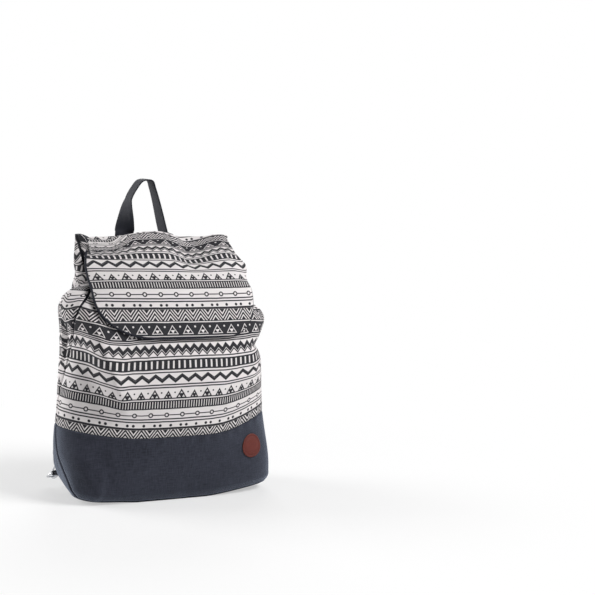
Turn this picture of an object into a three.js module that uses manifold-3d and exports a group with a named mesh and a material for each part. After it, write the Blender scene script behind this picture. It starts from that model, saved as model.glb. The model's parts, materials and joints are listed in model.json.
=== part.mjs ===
// A flap-top city backpack: printed canvas over a plain grey base, webbing handle and straps.
// Millimetres. +Z is up, the front looks along -Y, the origin is the middle of the underside.
import * as THREE from 'three';
import { mergeVertices } from 'three/addons/utils/BufferGeometryUtils.js';
import Module from 'manifold-3d';

const wasm = await Module();
wasm.setup();

// Body
const BODY_HEIGHT = 388; // underside to the top edge of the back panel
const BODY_WIDTH = 333; // across the side seams at the top of the grey band
const BELLY_WIDTH = 316; // across the sides above the band
const FRONT_DEPTH = 86; // middle plane to the fullest part of the front
const BACK_DEPTH = 66; // middle plane to the back
const BAND_HEIGHT = 100; // grey band
const BASE_WIDTH = 329; // across the underside
const BASE_ROUND = 8; // how far the lower edge turns in
const BASE_SAG = 16; // how far the middle of the bag hangs below its corners
const MOUTH_WIDTH = 278; // across the mouth corners
const MOUTH_DROP = 36; // front edge of the mouth below the top of the back panel
const NECK_DROP = 52; // where the sides have come in to the width of the mouth
const SHOULDER_DROP = 100; // where the front starts to fall in, below the top of the back panel
const CLOTH = 2.4; // canvas with its lining
const SEAM = 0.5; // gap between sewn pieces

// Fold that each side makes where the top sags onto the body
const TUCK_DROP = 83; // middle of the fold below the top of the back panel
const TUCK_DEPTH = 15; // near the front; it dies away to a third towards the back
const TUCK_HALF = 14;
const TUCK_SLOPE = 0.5; // rise of the fold towards the front
const TUCK_PUFF = 5; // bulge under the fold

// Flap
const FLAP_WIDTH = 258;
const FLAP_BACK_IN = 17; // how far each side comes in towards the sewn back edge
const FLAP_DROP = 138; // lower edge below the top of the back panel
const FLAP_SKEW = 5; // it hangs this far to the right at its lower edge
const FLAP_CORNER_WIDE = 67;
const FLAP_CORNER_UNEVEN = 11; // the left corner is this much wider, the right one narrower
const FLAP_CORNER_TALL = 58;
const FLAP_CLOTH = 2.6;
const FLAP_LIFT = 3; // flap to body at the lower edge
const FLAP_HUG = 0.8; // how closely the flap follows the round of the front
const FLAP_SIDE_FALL = 7; // its top is lower at the sides
const BINDING = 3.4; // thickness of the bound edge
const DENT_DEPTH = 11; // hollow in the top of the flap
const DENT_X = 44;
const DENT_HALF = 26;
const CREST_RISE = 6; // ridge beside the hollow
const CREST_X = -14;
const CREST_HALF = 38;

// Webbing and handle
const WEBBING_WIDTH = 30;
const WEBBING = 2; // thickness
const HANDLE_SPAN = 66; // between the middles of its legs
const HANDLE_LEAN = -13; // its middle stands this far off the middle of the bag
const HANDLE_RISE = 91; // top of the loop above the back panel
const HANDLE_SEWN = 13; // length sewn to the back panel
const HANDLE_BARE = 0.12; // share of the rise over which the left leg still lies flat
const HANDLE_TURNED = 0.67; // share of the rise at which the left leg stands edge on
const HANDLE_RIGHT_TURN = 64; // degrees that the right leg turns just above the bag
const HANDLE_RIGHT_START = 0.07; // shares of the rise between which it does so
const HANDLE_RIGHT_END = 0.22;
const STRAP_SEWN = 26;
const STRAP_SPAN = 78; // between the middles of the sewn strap ends
const STRAP_STRAIGHT = 92; // straight lower run that carries the slider

// Rings and tabs
const TAB_WIDTH = 20;
const TAB_TAIL = 5; // loose length between bag and ring
const LOWER_TAB_HEIGHT = 14; // above the lifted corner of the base
const LOWER_TAB_TURN = 113; // degrees round the bag from the middle of the front
const UPPER_TAB_X = 106;
const UPPER_TAB_DROP = 12; // top of the sewn tail below the top of the back panel
const UPPER_TAIL = 16;
const RING_WIRE = 3;
const RING_DEPTH = 17; // bar to the far side, between wire centres
const LOWER_RING_LIFT = -26; // degrees from level, hanging
const UPPER_RING_LIFT = -84; // degrees, hanging

// Snap hooks and strap sliders
const EYE_WIRE = 3.2;
const EYE_HEIGHT = 12;
const BOSS = 4.4; // radius
const BOSS_LENGTH = 6;
const POST = 1.8; // radius
const HOOK_WIRE = 3.8;
const HOOK_BEND = 7.2; // radius between wire centres
const HOOK_LEAN = 0.52; // sideways share of the pull of the strap, towards the middle of the back
const HOOK_PULL = 0.22; // backward share of that pull
const HOOK_ASIDE = 4.8; // from the middle of the ring towards the middle of the back
const HOOK_LENGTH = 24; // collar to the middle of the bend
const GATE_WIRE = 2.8;
const FIT = 0.4; // clearance of parts that turn or slide
const SLIDER_LENGTH = 22;
const SLIDER_BAR = 3.2;
const SLIDER_ALONG = 50; // middle of the slider above the eye

// Zip
const ZIP_Y = 20;
const ZIP_END = 21; // zip to each corner of the mouth
const TAPE = 1.2;
const TAPE_LEAST = 2; // least width of a tape at its ends
const COIL = 2.4;
const COIL_GAP = 2;
const ZIP_SLIDER_LENGTH = 11;
const ZIP_SLIDER_WIDTH = 9;
const ZIP_PLATE = 1.2;
const PULLER_LENGTH = 20;
const PULLER_WIDTH = 6.4;
const PULLER = 1.2;

// Leather patch
const PATCH = 36; // diameter
const PATCH_THICK = 1.6;
const PATCH_HEIGHT = 67;
const PATCH_X = 126;

const MOUTH_HEIGHT = BODY_HEIGHT - MOUTH_DROP;
const tuckMiddle = BODY_HEIGHT - TUCK_DROP;
const SIDES = [['left', -1], ['right', 1]];
const UP = new THREE.Vector3(0, 0, 1);
const BACK = new THREE.Vector3(0, 1, 0);
const FLAT_SHARE = 0.35; // share of the half width that rests flat

// Cross sections up the bag: half width, reach to front and back, how square, the line of the sides,
// the rise of the sides over the sagging middle, and the turn of the side seam in degrees.
const SECTIONS = [
  [0, BASE_WIDTH / 2 - BASE_ROUND, FRONT_DEPTH - 24, BACK_DEPTH - 12, 4.6, -7, BASE_SAG, 78],
  [14, BASE_WIDTH / 2, FRONT_DEPTH - 15, BACK_DEPTH - 4, 4.4, -7, BASE_SAG, 79],
  [BAND_HEIGHT, BODY_WIDTH / 2, FRONT_DEPTH - 8, BACK_DEPTH, 2.3, -3, BASE_SAG - 2, 91],
  [BAND_HEIGHT + 105, BELLY_WIDTH / 2, FRONT_DEPTH, BACK_DEPTH, 2.8, 1, BASE_SAG - 6, 89],
  [BODY_HEIGHT - SHOULDER_DROP, BELLY_WIDTH / 2, FRONT_DEPTH - 22, BACK_DEPTH - 8, 2.4, -6, 0, 81],
  [BODY_HEIGHT - NECK_DROP, MOUTH_WIDTH / 2 - 3, 31, 54, 2.2, 6, 0, 84],
  [BODY_HEIGHT - MOUTH_DROP, MOUTH_WIDTH / 2 - 2, 8, 50, 2.1, 16, 0, 86],
  [BODY_HEIGHT, MOUTH_WIDTH / 2 - 5, -8, 48, 2.1, 26, 0, 90],
].map(([z, half, front, back, square, seam, lift, split]) => (
  { z, half, front, back, square, seam, lift, split }));

// Smooth value of one column of the sections at a height.
function sectionValue(key, z) {
  const last = SECTIONS.length - 1;
  let i = 0;
  while (i < last - 1 && z > SECTIONS[i + 1].z) {
    i += 1;
  }
  const slope = (k) => {
    const a = SECTIONS[Math.max(k - 1, 0)];
    const b = SECTIONS[Math.min(k + 1, last)];
    return (b[key] - a[key]) / (b.z - a.z);
  };
  const a = SECTIONS[i];
  const b = SECTIONS[i + 1];
  const step = b.z - a.z;
  const t = THREE.MathUtils.clamp((z - a.z) / step, 0, 1);
  const bend = (1 - t) * slope(i) * t * (1 - t) * step - t * slope(i + 1) * t * (1 - t) * step;
  const ease = t * t * (3 - 2 * t);
  return a[key] * (1 - ease) + b[key] * ease + bend;
}

const bell = (t) => Math.exp(-t * t);

// Rise of the skin beside its sagging middle, which stays flat.
function sagRise(x, z) {
  const beside = Math.max(Math.abs(x) / sectionValue('half', z) - FLAT_SHARE, 0) / (1 - FLAT_SHARE);
  return sectionValue('lift', z) * Math.min(beside, 1) ** 1.4;
}

// Outer skin of the bag; the turn is 0 in the middle of the front and half pi at the right side.
// Tuck is 0 for the skin without its side folds.
function skin(turn, z, tuck = 1) {
  const seam = sectionValue('seam', z);
  const half = sectionValue('half', z);
  const square = sectionValue('square', z);
  const ahead = Math.cos(turn) > 0;
  const depth = ahead ? sectionValue('front', z) + seam : sectionValue('back', z) - seam;
  const across = Math.abs(Math.sin(turn)) / half;
  const along = Math.abs(Math.cos(turn)) / depth;
  const reach = (across ** square + along ** square) ** (-1 / square);
  const y = seam - reach * Math.cos(turn);
  const off = z - (BODY_HEIGHT - TUCK_DROP - TUCK_SLOPE * y);
  const side = bell(Math.acos(Math.min(Math.abs(Math.sin(turn)), 1)) / 0.5);
  const puff = TUCK_PUFF * bell((off + 2.3 * TUCK_HALF) / (1.5 * TUCK_HALF));
  const valley = TUCK_DEPTH * (1 - 0.65 * THREE.MathUtils.smoothstep(y, -5, 45));
  const push = tuck * side * (puff - valley * bell(off / TUCK_HALF));
  const x = reach * Math.sin(turn);
  return new THREE.Vector3(x + Math.sign(x) * push, y, z + sagRise(x, z));
}

// Outward direction of the skin.
function skinNormal(turn, z) {
  const d = 1e-3;
  const a = skin(turn + d, z).sub(skin(turn - d, z));
  const b = skin(turn, z + 1).sub(skin(turn, z - 1));
  return a.cross(b).normalize();
}

// Turn at which the front (or the back) of the skin stands at a given x.
function turnAt(x, z, back = false, tuck = 1) {
  const sign = Math.sign(x) || 1;
  let low = back ? Math.PI : 0;
  let high = Math.PI / 2;
  for (let i = 0; i < 40; i += 1) {
    const mid = (low + high) / 2;
    if (Math.abs(skin(sign * mid, z, tuck).x) < Math.abs(x)) {
      low = mid;
    } else {
      high = mid;
    }
  }
  return sign * low;
}

const frontY = (x, z, tuck = 1) => skin(turnAt(x, z, false, tuck), z, tuck).y;
const backY = (x, z) => skin(turnAt(x, z, true), z).y;

// Turns that split the skin between two turns into equal lengths.
function evenTurns(from, to, z, count) {
  const fine = 400;
  const at = (k) => from + ((to - from) * k) / fine;
  const lengths = [0];
  for (let k = 1; k <= fine; k += 1) {
    lengths.push(lengths[k - 1] + skin(at(k), z).distanceTo(skin(at(k - 1), z)));
  }
  const turns = [];
  let k = 1;
  for (let i = 0; i <= count; i += 1) {
    const wanted = (lengths[fine] * i) / count;
    while (k < fine && lengths[k] < wanted) {
      k += 1;
    }
    const share = (wanted - lengths[k - 1]) / (lengths[k] - lengths[k - 1]);
    turns.push(at(k - 1 + share));
  }
  return turns;
}

const group = new THREE.Group();
const MATERIALS = {
  print: { color: 0xc9c1bb, roughness: 0.9 },
  grey: { color: 0x4a4d56, roughness: 0.95 },
  webbing: { color: 0x20232a, roughness: 0.85 },
  leather: { color: 0x73382f, roughness: 0.6 },
  metal: { color: 0xb9bcc0, roughness: 0.3, metalness: 1 },
  tape: { color: 0x1b1c20, roughness: 0.9 },
};

function addNode(name, geometry, material, parent = group) {
  const mesh = new THREE.Mesh(geometry, new THREE.MeshStandardMaterial(MATERIALS[material]));
  mesh.name = name;
  parent.add(mesh);
  return mesh;
}

// A group placed by its origin and two of its axes.
function placed(origin, xAxis, yAxis) {
  const y = yAxis.clone().normalize();
  const x = xAxis.clone().addScaledVector(y, -xAxis.dot(y)).normalize();
  const z = x.clone().cross(y);
  const holder = new THREE.Group();
  holder.applyMatrix4(new THREE.Matrix4().makeBasis(x, y, z).setPosition(origin));
  group.add(holder);
  return holder;
}

// Closed mesh from corner points and triangles, turned so that its faces point out.
function meshOf(points, triangles) {
  let volume = 0;
  for (let i = 0; i < triangles.length; i += 3) {
    const [a, b, c] = triangles.slice(i, i + 3).map((k) => points[k]);
    volume += a.dot(b.clone().cross(c));
  }
  const geometry = new THREE.BufferGeometry();
  geometry.setAttribute('position', new THREE.Float32BufferAttribute(points.flatMap((p) => p.toArray()), 3));
  geometry.setIndex(volume < 0 ? triangles.slice().reverse() : triangles);
  geometry.computeVertexNormals();
  return geometry;
}

// Closed body between two matching grids of points, the first one facing out.
function between(outer, inner) {
  const rows = outer.length;
  const cols = outer[0].length;
  const points = [...outer.flat(), ...inner.flat()];
  const at = (layer, i, j) => layer * rows * cols + i * cols + j;
  const triangles = [];
  const quad = (a, b, c, d) => triangles.push(a, b, c, a, c, d);
  for (let i = 0; i < rows - 1; i += 1) {
    for (let j = 0; j < cols - 1; j += 1) {
      quad(at(0, i, j), at(0, i, j + 1), at(0, i + 1, j + 1), at(0, i + 1, j));
      quad(at(1, i, j), at(1, i + 1, j), at(1, i + 1, j + 1), at(1, i, j + 1));
    }
  }
  for (let i = 0; i < rows - 1; i += 1) {
    quad(at(0, i, 0), at(0, i + 1, 0), at(1, i + 1, 0), at(1, i, 0));
    quad(at(0, i + 1, cols - 1), at(0, i, cols - 1), at(1, i, cols - 1), at(1, i + 1, cols - 1));
  }
  for (let j = 0; j < cols - 1; j += 1) {
    quad(at(0, 0, j + 1), at(0, 0, j), at(1, 0, j), at(1, 0, j + 1));
    quad(at(0, rows - 1, j), at(0, rows - 1, j + 1), at(1, rows - 1, j + 1), at(1, rows - 1, j));
  }
  return meshOf(points, triangles);
}

// Body swept through rings of points, closed into a loop or capped at both ends.
function loft(rings, loop = false) {
  const count = rings.length;
  const size = rings[0].length;
  const triangles = [];
  for (let i = 0; i < (loop ? count : count - 1); i += 1) {
    const next = ((i + 1) % count) * size;
    for (let j = 0; j < size; j += 1) {
      const k = (j + 1) % size;
      triangles.push(i * size + j, i * size + k, next + k, i * size + j, next + k, next + j);
    }
  }
  if (!loop) {
    for (let j = 1; j < size - 1; j += 1) {
      triangles.push(0, j + 1, j);
      const end = (count - 1) * size;
      triangles.push(end, end + j, end + j + 1);
    }
  }
  return meshOf(rings.flat(), triangles);
}

// Round wire along flat points in the local XY plane.
function wire(path, thickness, sides, loop = false) {
  const count = path.length;
  const rings = path.map((p, i) => {
    const a = path[loop ? (i + count - 1) % count : Math.max(i - 1, 0)];
    const b = path[loop ? (i + 1) % count : Math.min(i + 1, count - 1)];
    const out = new THREE.Vector3(b.y - a.y, a.x - b.x, 0).normalize();
    return Array.from({ length: sides }, (_, k) => {
      const angle = (2 * Math.PI * (k + 0.5)) / sides;
      const ring = out.clone().multiplyScalar((Math.cos(angle) * thickness) / 2);
      return ring.add(new THREE.Vector3(p.x, p.y, (Math.sin(angle) * thickness) / 2));
    });
  });
  return loft(rings, loop);
}

// Joining and cutting
function solid(geometry) {
  const bare = new THREE.BufferGeometry();
  bare.setAttribute('position', geometry.getAttribute('position'));
  bare.setIndex(geometry.index);
  const merged = mergeVertices(bare, 1e-4);
  return new wasm.Manifold(new wasm.Mesh({
    numProp: 3,
    vertProperties: merged.getAttribute('position').array,
    triVerts: new Uint32Array(merged.index.array),
  }));
}

function geometryOf(body) {
  const mesh = body.getMesh();
  const geometry = new THREE.BufferGeometry();
  geometry.setAttribute('position', new THREE.BufferAttribute(new Float32Array(mesh.vertProperties), 3));
  geometry.setIndex(new THREE.BufferAttribute(new Uint32Array(mesh.triVerts), 1));
  geometry.computeVertexNormals();
  return geometry;
}

const box = (x, y, z, at) => new THREE.BoxGeometry(x, y, z).translate(at.x, at.y, at.z);
const spot = (x, y, z = 0) => new THREE.Vector3(x, y, z);
const pole = (radius, from, to, sides = 10) => new THREE.CylinderGeometry(radius, radius, to - from, sides)
  .translate(0, (from + to) / 2, 0);

// Flat outline pushed through a thickness, centred on the local XY plane.
function plate(shape, thickness, curveSteps = 8) {
  const how = { depth: thickness, bevelEnabled: false, curveSegments: curveSteps };
  return new THREE.ExtrudeGeometry(shape, how).translate(0, 0, -thickness / 2);
}

// Height of a row of panel points, slanted along the side folds.
function rowHeight(turn, z) {
  const under = THREE.MathUtils.smoothstep(z, BAND_HEIGHT + 60, tuckMiddle - TUCK_HALF);
  const over = THREE.MathUtils.smoothstep(z, tuckMiddle + TUCK_HALF, MOUTH_HEIGHT);
  return z - TUCK_SLOPE * THREE.MathUtils.clamp(skin(turn, z).y, -45, 45) * under * (1 - over);
}

// Panels of the bag between two turns, each a function of the height.
function panel(from, to, heights, across) {
  const outer = [];
  const inner = [];
  for (const z of heights) {
    const turns = evenTurns(from(z), to(z), z, across);
    const skins = turns.map((turn) => skin(turn, rowHeight(turn, z)));
    outer.push(skins);
    inner.push(skins.map((p, j) => {
      const inward = skinNormal(turns[j], rowHeight(turns[j], z));
      inward.z = 0;
      return p.clone().addScaledVector(inward.normalize(), -CLOTH);
    }));
  }
  return between(outer, inner);
}

const steps = (from, to, count) => Array.from({ length: count + 1 },
  (_, i) => from + ((to - from) * i) / count);
const seamTurn = SEAM / BODY_WIDTH;
const split = (z) => THREE.MathUtils.degToRad(sectionValue('split', z));
const frontEnd = (z) => split(z) - seamTurn;
const backStart = (z) => split(z) + seamTurn;
const frontPanel = (heights, across) => panel((z) => -frontEnd(z), frontEnd, heights, across);
const backPanel = (heights, across) => panel(backStart, (z) => 2 * Math.PI - backStart(z), heights, across);
const baseTop = CLOTH + SEAM;
const bandHeights = [baseTop, 14, 50, BAND_HEIGHT - SEAM];
const frontHeights = [
  ...steps(BAND_HEIGHT, tuckMiddle - 4.5 * TUCK_HALF, 3),
  ...steps(tuckMiddle - 3.5 * TUCK_HALF, tuckMiddle + 2 * TUCK_HALF, 8),
  MOUTH_HEIGHT,
];
addNode('front_print_panel', frontPanel(frontHeights, 24), 'print');
addNode('back_print_panel', backPanel([...frontHeights, BODY_HEIGHT], 20), 'print');
addNode('front_band_panel', frontPanel(bandHeights, 28), 'grey');
addNode('back_band_panel', backPanel(bandHeights, 26), 'grey');

// Base panel: flat in the middle, turned up at both ends with the sag
const baseTurns = [
  ...evenTurns(-Math.PI / 2, Math.PI / 2, 0, 20).slice(0, -1),
  ...evenTurns(Math.PI / 2, 1.5 * Math.PI, 0, 20).slice(0, -1),
];
const baseRing = (share, up) => baseTurns.map((turn) => {
  const p = skin(turn, 0).multiplyScalar(share);
  return new THREE.Vector3(p.x, p.y, sagRise(p.x, 0) + up);
});
const baseShares = [FLAT_SHARE, 0.7, 1];
addNode('base_panel', loft([
  ...baseShares.map((share) => baseRing(share, 0)),
  ...baseShares.slice().reverse().map((share) => baseRing(share, CLOTH)),
]), 'grey');

// Flap: a middle line from the back edge over the mouth and down the front
const backTop = sectionValue('back', BODY_HEIGHT) - CLOTH / 2;
const flapReach = sectionValue('front', BODY_HEIGHT - SHOULDER_DROP) + backTop;
const flapFoot = BODY_HEIGHT - FLAP_DROP;
const bodyFront = (z) => -sectionValue('front', z) - FLAP_LIFT - FLAP_CLOTH / 2;
const flapLine = new THREE.CatmullRomCurve3([
  new THREE.Vector3(0, backTop, BODY_HEIGHT + 2 * SEAM),
  new THREE.Vector3(0, backTop - 0.06 * flapReach, BODY_HEIGHT + 8),
  new THREE.Vector3(0, backTop - 0.22 * flapReach, BODY_HEIGHT + 7),
  new THREE.Vector3(0, backTop - 0.38 * flapReach, BODY_HEIGHT - 10),
  new THREE.Vector3(0, backTop - 0.55 * flapReach, BODY_HEIGHT - 26),
  new THREE.Vector3(0, backTop - 0.72 * flapReach, BODY_HEIGHT - 40),
  new THREE.Vector3(0, backTop - 0.9 * flapReach, BODY_HEIGHT - 64),
  new THREE.Vector3(0, bodyFront(BODY_HEIGHT - 96) - 1, BODY_HEIGHT - 96),
  new THREE.Vector3(0, bodyFront(flapFoot), flapFoot),
]);
flapLine.arcLengthDivisions = 400;
const FLAP_LENGTH = flapLine.getLength();

// Point of the flap's middle layer, by the distance across and the length from the back edge.
function flapSheet(x, length) {
  const p = flapLine.getPointAt(THREE.MathUtils.clamp(length / FLAP_LENGTH, 0, 1));
  const z = p.z - Math.max(length - FLAP_LENGTH, 0);
  const front = THREE.MathUtils.smoothstep(length, 0.2 * FLAP_LENGTH, 0.62 * FLAP_LENGTH);
  const back = 1 - THREE.MathUtils.smoothstep(length, 0, 0.25 * FLAP_LENGTH);
  const low = Math.min(z, BODY_HEIGHT - 60);
  const frontRound = FLAP_HUG * (frontY(x, low, 0) - frontY(0, low, 0));
  const backRound = backY(x, BODY_HEIGHT) - backY(0, BODY_HEIGHT);
  const top = bell((length - 0.24 * FLAP_LENGTH) / (0.22 * FLAP_LENGTH)) * (1 - back);
  const dent = DENT_DEPTH * bell((x - DENT_X - 0.1 * length) / DENT_HALF);
  const crest = CREST_RISE * bell((x - CREST_X) / CREST_HALF);
  const fall = FLAP_SIDE_FALL * (2 * x / FLAP_WIDTH) ** 2 * (1 - front) * (1 - back);
  const skew = (FLAP_SKEW * length) / FLAP_LENGTH;
  const y = p.y + front * frontRound + back * backRound;
  return new THREE.Vector3(x + skew, y, z - fall + top * (crest - dent));
}

function flapNormal(x, length) {
  const d = 0.5;
  const across = flapSheet(x + d, length).sub(flapSheet(x - d, length));
  const down = flapSheet(x, Math.min(length + d, FLAP_LENGTH)).sub(flapSheet(x, Math.max(length - d, 0)));
  return down.cross(across).normalize();
}

// Width of the flap from its middle to one side at a length: it is narrower at the back edge, and its
// lower corners are rounded.
const cornerWide = (sign) => FLAP_CORNER_WIDE - sign * FLAP_CORNER_UNEVEN;
function flapHalf(length, sign) {
  const past = Math.max(length - (FLAP_LENGTH - FLAP_CORNER_TALL), 0) / FLAP_CORNER_TALL;
  const back = FLAP_BACK_IN * (1 - THREE.MathUtils.smoothstep(length, 0, 0.45 * FLAP_LENGTH));
  return FLAP_WIDTH / 2 - back - cornerWide(sign) * (1 - Math.sqrt(Math.max(1 - past * past, 0)));
}

const flapLengths = [
  ...steps(0, FLAP_LENGTH - FLAP_CORNER_TALL, 13),
  ...steps(0, Math.PI / 2, 6).slice(1).map((a) => FLAP_LENGTH - FLAP_CORNER_TALL * (1 - Math.sin(a))),
];
const flapTop = [];
const flapUnder = [];
for (const length of flapLengths) {
  const xs = steps(-flapHalf(length, -1), flapHalf(length, 1), 20);
  const middles = xs.map((x) => flapSheet(x, length));
  const normals = xs.map((x) => flapNormal(x, length));
  flapTop.push(middles.map((p, j) => p.clone().addScaledVector(normals[j], FLAP_CLOTH / 2)));
  flapUnder.push(middles.map((p, j) => p.clone().addScaledVector(normals[j], -FLAP_CLOTH / 2)));
}
addNode('flap', between(flapUnder, flapTop), 'print');

// Bound edge round the free sides of the flap
const bindingOff = BINDING / 2 + SEAM;
function bindingSide(sign) {
  const wide = cornerWide(sign);
  const straight = steps(1, FLAP_LENGTH - FLAP_CORNER_TALL, 14)
    .map((length) => [sign * (flapHalf(length, sign) + bindingOff), length]);
  const corner = steps(0, Math.PI / 2, 8).slice(1).map((a) => [
    sign * (FLAP_WIDTH / 2 - wide + (wide + bindingOff) * Math.cos(a)),
    FLAP_LENGTH - FLAP_CORNER_TALL + (FLAP_CORNER_TALL + bindingOff) * Math.sin(a),
  ]);
  return [...straight, ...corner];
}
const bindingFoot = steps(-flapHalf(FLAP_LENGTH, -1), flapHalf(FLAP_LENGTH, 1), 6).slice(1, -1)
  .map((x) => [x, FLAP_LENGTH + bindingOff]);
const bindingPath = [...bindingSide(-1), ...bindingFoot, ...bindingSide(1).reverse()];
const bindingRings = bindingPath.map(([x, length], i) => {
  const middle = flapSheet(x, length);
  const before = flapSheet(...bindingPath[Math.max(i - 1, 0)]);
  const after = flapSheet(...bindingPath[Math.min(i + 1, bindingPath.length - 1)]);
  const along = after.sub(before).normalize();
  const normal = flapNormal(x, Math.min(length, FLAP_LENGTH));
  const out = along.clone().cross(normal).normalize();
  const lift = out.clone().cross(along);
  return steps(0, 2 * Math.PI, 6).slice(0, -1).map((a) => middle.clone()
    .addScaledVector(out, (Math.cos(a) * BINDING) / 2)
    .addScaledVector(lift, (Math.sin(a) * BINDING) / 2));
});
addNode('flap_binding', loft(bindingRings), 'webbing');

// Flat band of webbing through stations, each with a middle, a width direction and a face direction.
function ribbon(stations, width, thickness) {
  return loft(stations.map(({ at, wide, face }) => {
    const w = wide.clone().multiplyScalar(width / 2);
    const f = face.clone().multiplyScalar(thickness / 2);
    return [
      at.clone().sub(w).sub(f),
      at.clone().add(w).sub(f),
      at.clone().add(w).add(f),
      at.clone().sub(w).add(f),
    ];
  }));
}

// Grab handle: legs sewn flat on the back panel, turning until the loop lies flat over a peg.
// The left leg stands nearly straight up and the right one leans in.
const handleInner = HANDLE_SPAN / 2 - WEBBING_WIDTH / 2 + HANDLE_LEAN;
const handleY = backY(handleInner, BODY_HEIGHT - HANDLE_SEWN) + SEAM + WEBBING / 2;
const handleShares = [0.3, 0.66, 0.87, 0.99];
const handleSpot = (sign, inward, rise) => spot(HANDLE_LEAN + sign * (HANDLE_SPAN / 2 - inward),
  handleY, BODY_HEIGHT + rise);
const handleSide = (sign, inwards) => [
  handleSpot(sign, 0, -HANDLE_SEWN),
  handleSpot(sign, 0, 0),
  ...inwards.map((inward, i) => handleSpot(sign, inward * HANDLE_SPAN, handleShares[i] * HANDLE_RISE)),
];
const handleCurve = new THREE.CatmullRomCurve3([
  ...handleSide(-1, [0.03, 0.09, 0.24, 0.39]),
  ...handleSide(1, [0.1, 0.23, 0.32, 0.39]).reverse(),
]);
function handleTurn(rise, left) {
  if (left) {
    const share = THREE.MathUtils.clamp((rise - HANDLE_BARE) / (HANDLE_TURNED - HANDLE_BARE), 0, 1);
    return Math.acos(1 - share);
  }
  const first = THREE.MathUtils.degToRad(HANDLE_RIGHT_TURN);
  const rest = Math.PI / 2 - first;
  const start = THREE.MathUtils.smoothstep(rise, HANDLE_RIGHT_START, HANDLE_RIGHT_END);
  return -first * start - rest * THREE.MathUtils.smoothstep(rise, HANDLE_RIGHT_END, 1);
}
const handleStations = steps(0, 1, 40).map((t) => {
  const at = handleCurve.getPointAt(t);
  const along = handleCurve.getTangentAt(t);
  const turn = handleTurn((at.z - BODY_HEIGHT) / HANDLE_RISE, t < 0.5);
  const sideways = along.clone().cross(BACK).normalize();
  const wide = sideways.multiplyScalar(Math.cos(turn)).addScaledVector(BACK, Math.sin(turn));
  return { at, wide, face: along.clone().cross(wide) };
});
addNode('grab_handle', ribbon(handleStations, WEBBING_WIDTH, WEBBING), 'webbing');

// Round leather patch, bent to the front of the grey band
function patchSkin(across, up, off) {
  const z = PATCH_HEIGHT + up;
  const turn0 = turnAt(PATCH_X, PATCH_HEIGHT);
  const d = 1e-3;
  const pace = skin(turn0 + d, PATCH_HEIGHT).distanceTo(skin(turn0 - d, PATCH_HEIGHT)) / (2 * d);
  const turn = turn0 + across / pace;
  return skin(turn, z).addScaledVector(skinNormal(turn, z), off);
}
function discLayers(off) {
  return steps(0.4, 1, 2).map((share) => steps(0, 2 * Math.PI, 26).slice(0, -1).map((a) => {
    const r = (share * PATCH) / 2;
    return patchSkin(r * Math.cos(a), r * Math.sin(a), off);
  }));
}
const patchTop = discLayers(SEAM + PATCH_THICK);
const patchUnder = discLayers(SEAM);
addNode('leather_patch', loft([...patchUnder, ...patchTop.reverse()]), 'leather');

// D ring: a straight bar along local X and a round far side along local Y
function ringGeometry() {
  const bend = 2.4;
  const half = TAB_WIDTH / 2 + bend + FIT;
  const path = new THREE.Path();
  path.moveTo(-half + bend, 0);
  path.lineTo(half - bend, 0);
  path.quadraticCurveTo(half, 0, half, bend);
  path.bezierCurveTo(half, 0.86 * RING_DEPTH, 0.6 * half, RING_DEPTH, 0, RING_DEPTH);
  path.bezierCurveTo(-0.6 * half, RING_DEPTH, -half, 0.86 * RING_DEPTH, -half, bend);
  path.quadraticCurveTo(-half, 0, -half + bend, 0);
  return wire(path.getPoints(5).slice(0, -1), RING_WIRE, 6, true);
}

// Folded webbing round a bar: a tail along local -Y and an eye for the bar at the origin, its width
// along local X. A flush tail lies against local -Z, level with the side of the eye.
function loopTab(tail, eye, width, flush = false) {
  const shape = new THREE.Shape();
  const outer = eye + WEBBING;
  const right = flush ? outer : WEBBING + 0.1;
  const left = right - 2 * WEBBING - 0.2;
  shape.absarc(0, 0, outer, flush ? 0 : -Math.PI / 2 + 0.6, 1.5 * Math.PI - 0.6, false);
  shape.lineTo(left, -outer - 1.5);
  shape.lineTo(left, -tail);
  shape.lineTo(right, -tail);
  if (!flush) {
    shape.lineTo(right, -outer - 1.5);
  }
  shape.closePath();
  shape.holes.push(new THREE.Path().absarc(0, 0, eye, 0, 2 * Math.PI, true));
  return plate(shape, width, 7).rotateY(Math.PI / 2);
}
const ringEye = RING_WIRE / 2 + FIT;
const SEAT = 0.35; // gap under sewn-on webbing

// Bar position and directions of each lower ring
function lowerRing(sign) {
  const turn = sign * THREE.MathUtils.degToRad(LOWER_TAB_TURN);
  const out = skinNormal(turn, LOWER_TAB_HEIGHT);
  out.z = 0;
  out.normalize();
  const tail = TAB_TAIL + ringEye + WEBBING;
  const bar = skin(turn, LOWER_TAB_HEIGHT).addScaledVector(out, tail + SEAT);
  const along = new THREE.Vector3().crossVectors(out, UP).normalize();
  const lift = THREE.MathUtils.degToRad(LOWER_RING_LIFT);
  const reach = out.clone().multiplyScalar(Math.cos(lift)).addScaledVector(UP, Math.sin(lift));
  return { bar, along, out, reach, tail };
}

function upperRing(sign) {
  const z = BODY_HEIGHT - UPPER_TAB_DROP - UPPER_TAIL;
  const turn = turnAt(sign * UPPER_TAB_X, z, true);
  const out = skinNormal(turn, z);
  out.z = 0;
  out.normalize();
  const foot = skin(turn, z);
  const turnUp = (height) => turnAt(sign * UPPER_TAB_X, height, true);
  const leans = steps(z, z + UPPER_TAIL, 4)
    .map((height) => skin(turnUp(height), height).sub(foot).dot(out));
  const bar = foot.addScaledVector(out, Math.max(...leans) + ringEye + WEBBING + SEAT);
  const along = new THREE.Vector3().crossVectors(out, UP).normalize();
  const lift = THREE.MathUtils.degToRad(UPPER_RING_LIFT);
  const reach = out.clone().multiplyScalar(Math.cos(lift)).addScaledVector(UP, Math.sin(lift));
  return { bar, along, out, reach };
}

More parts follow.
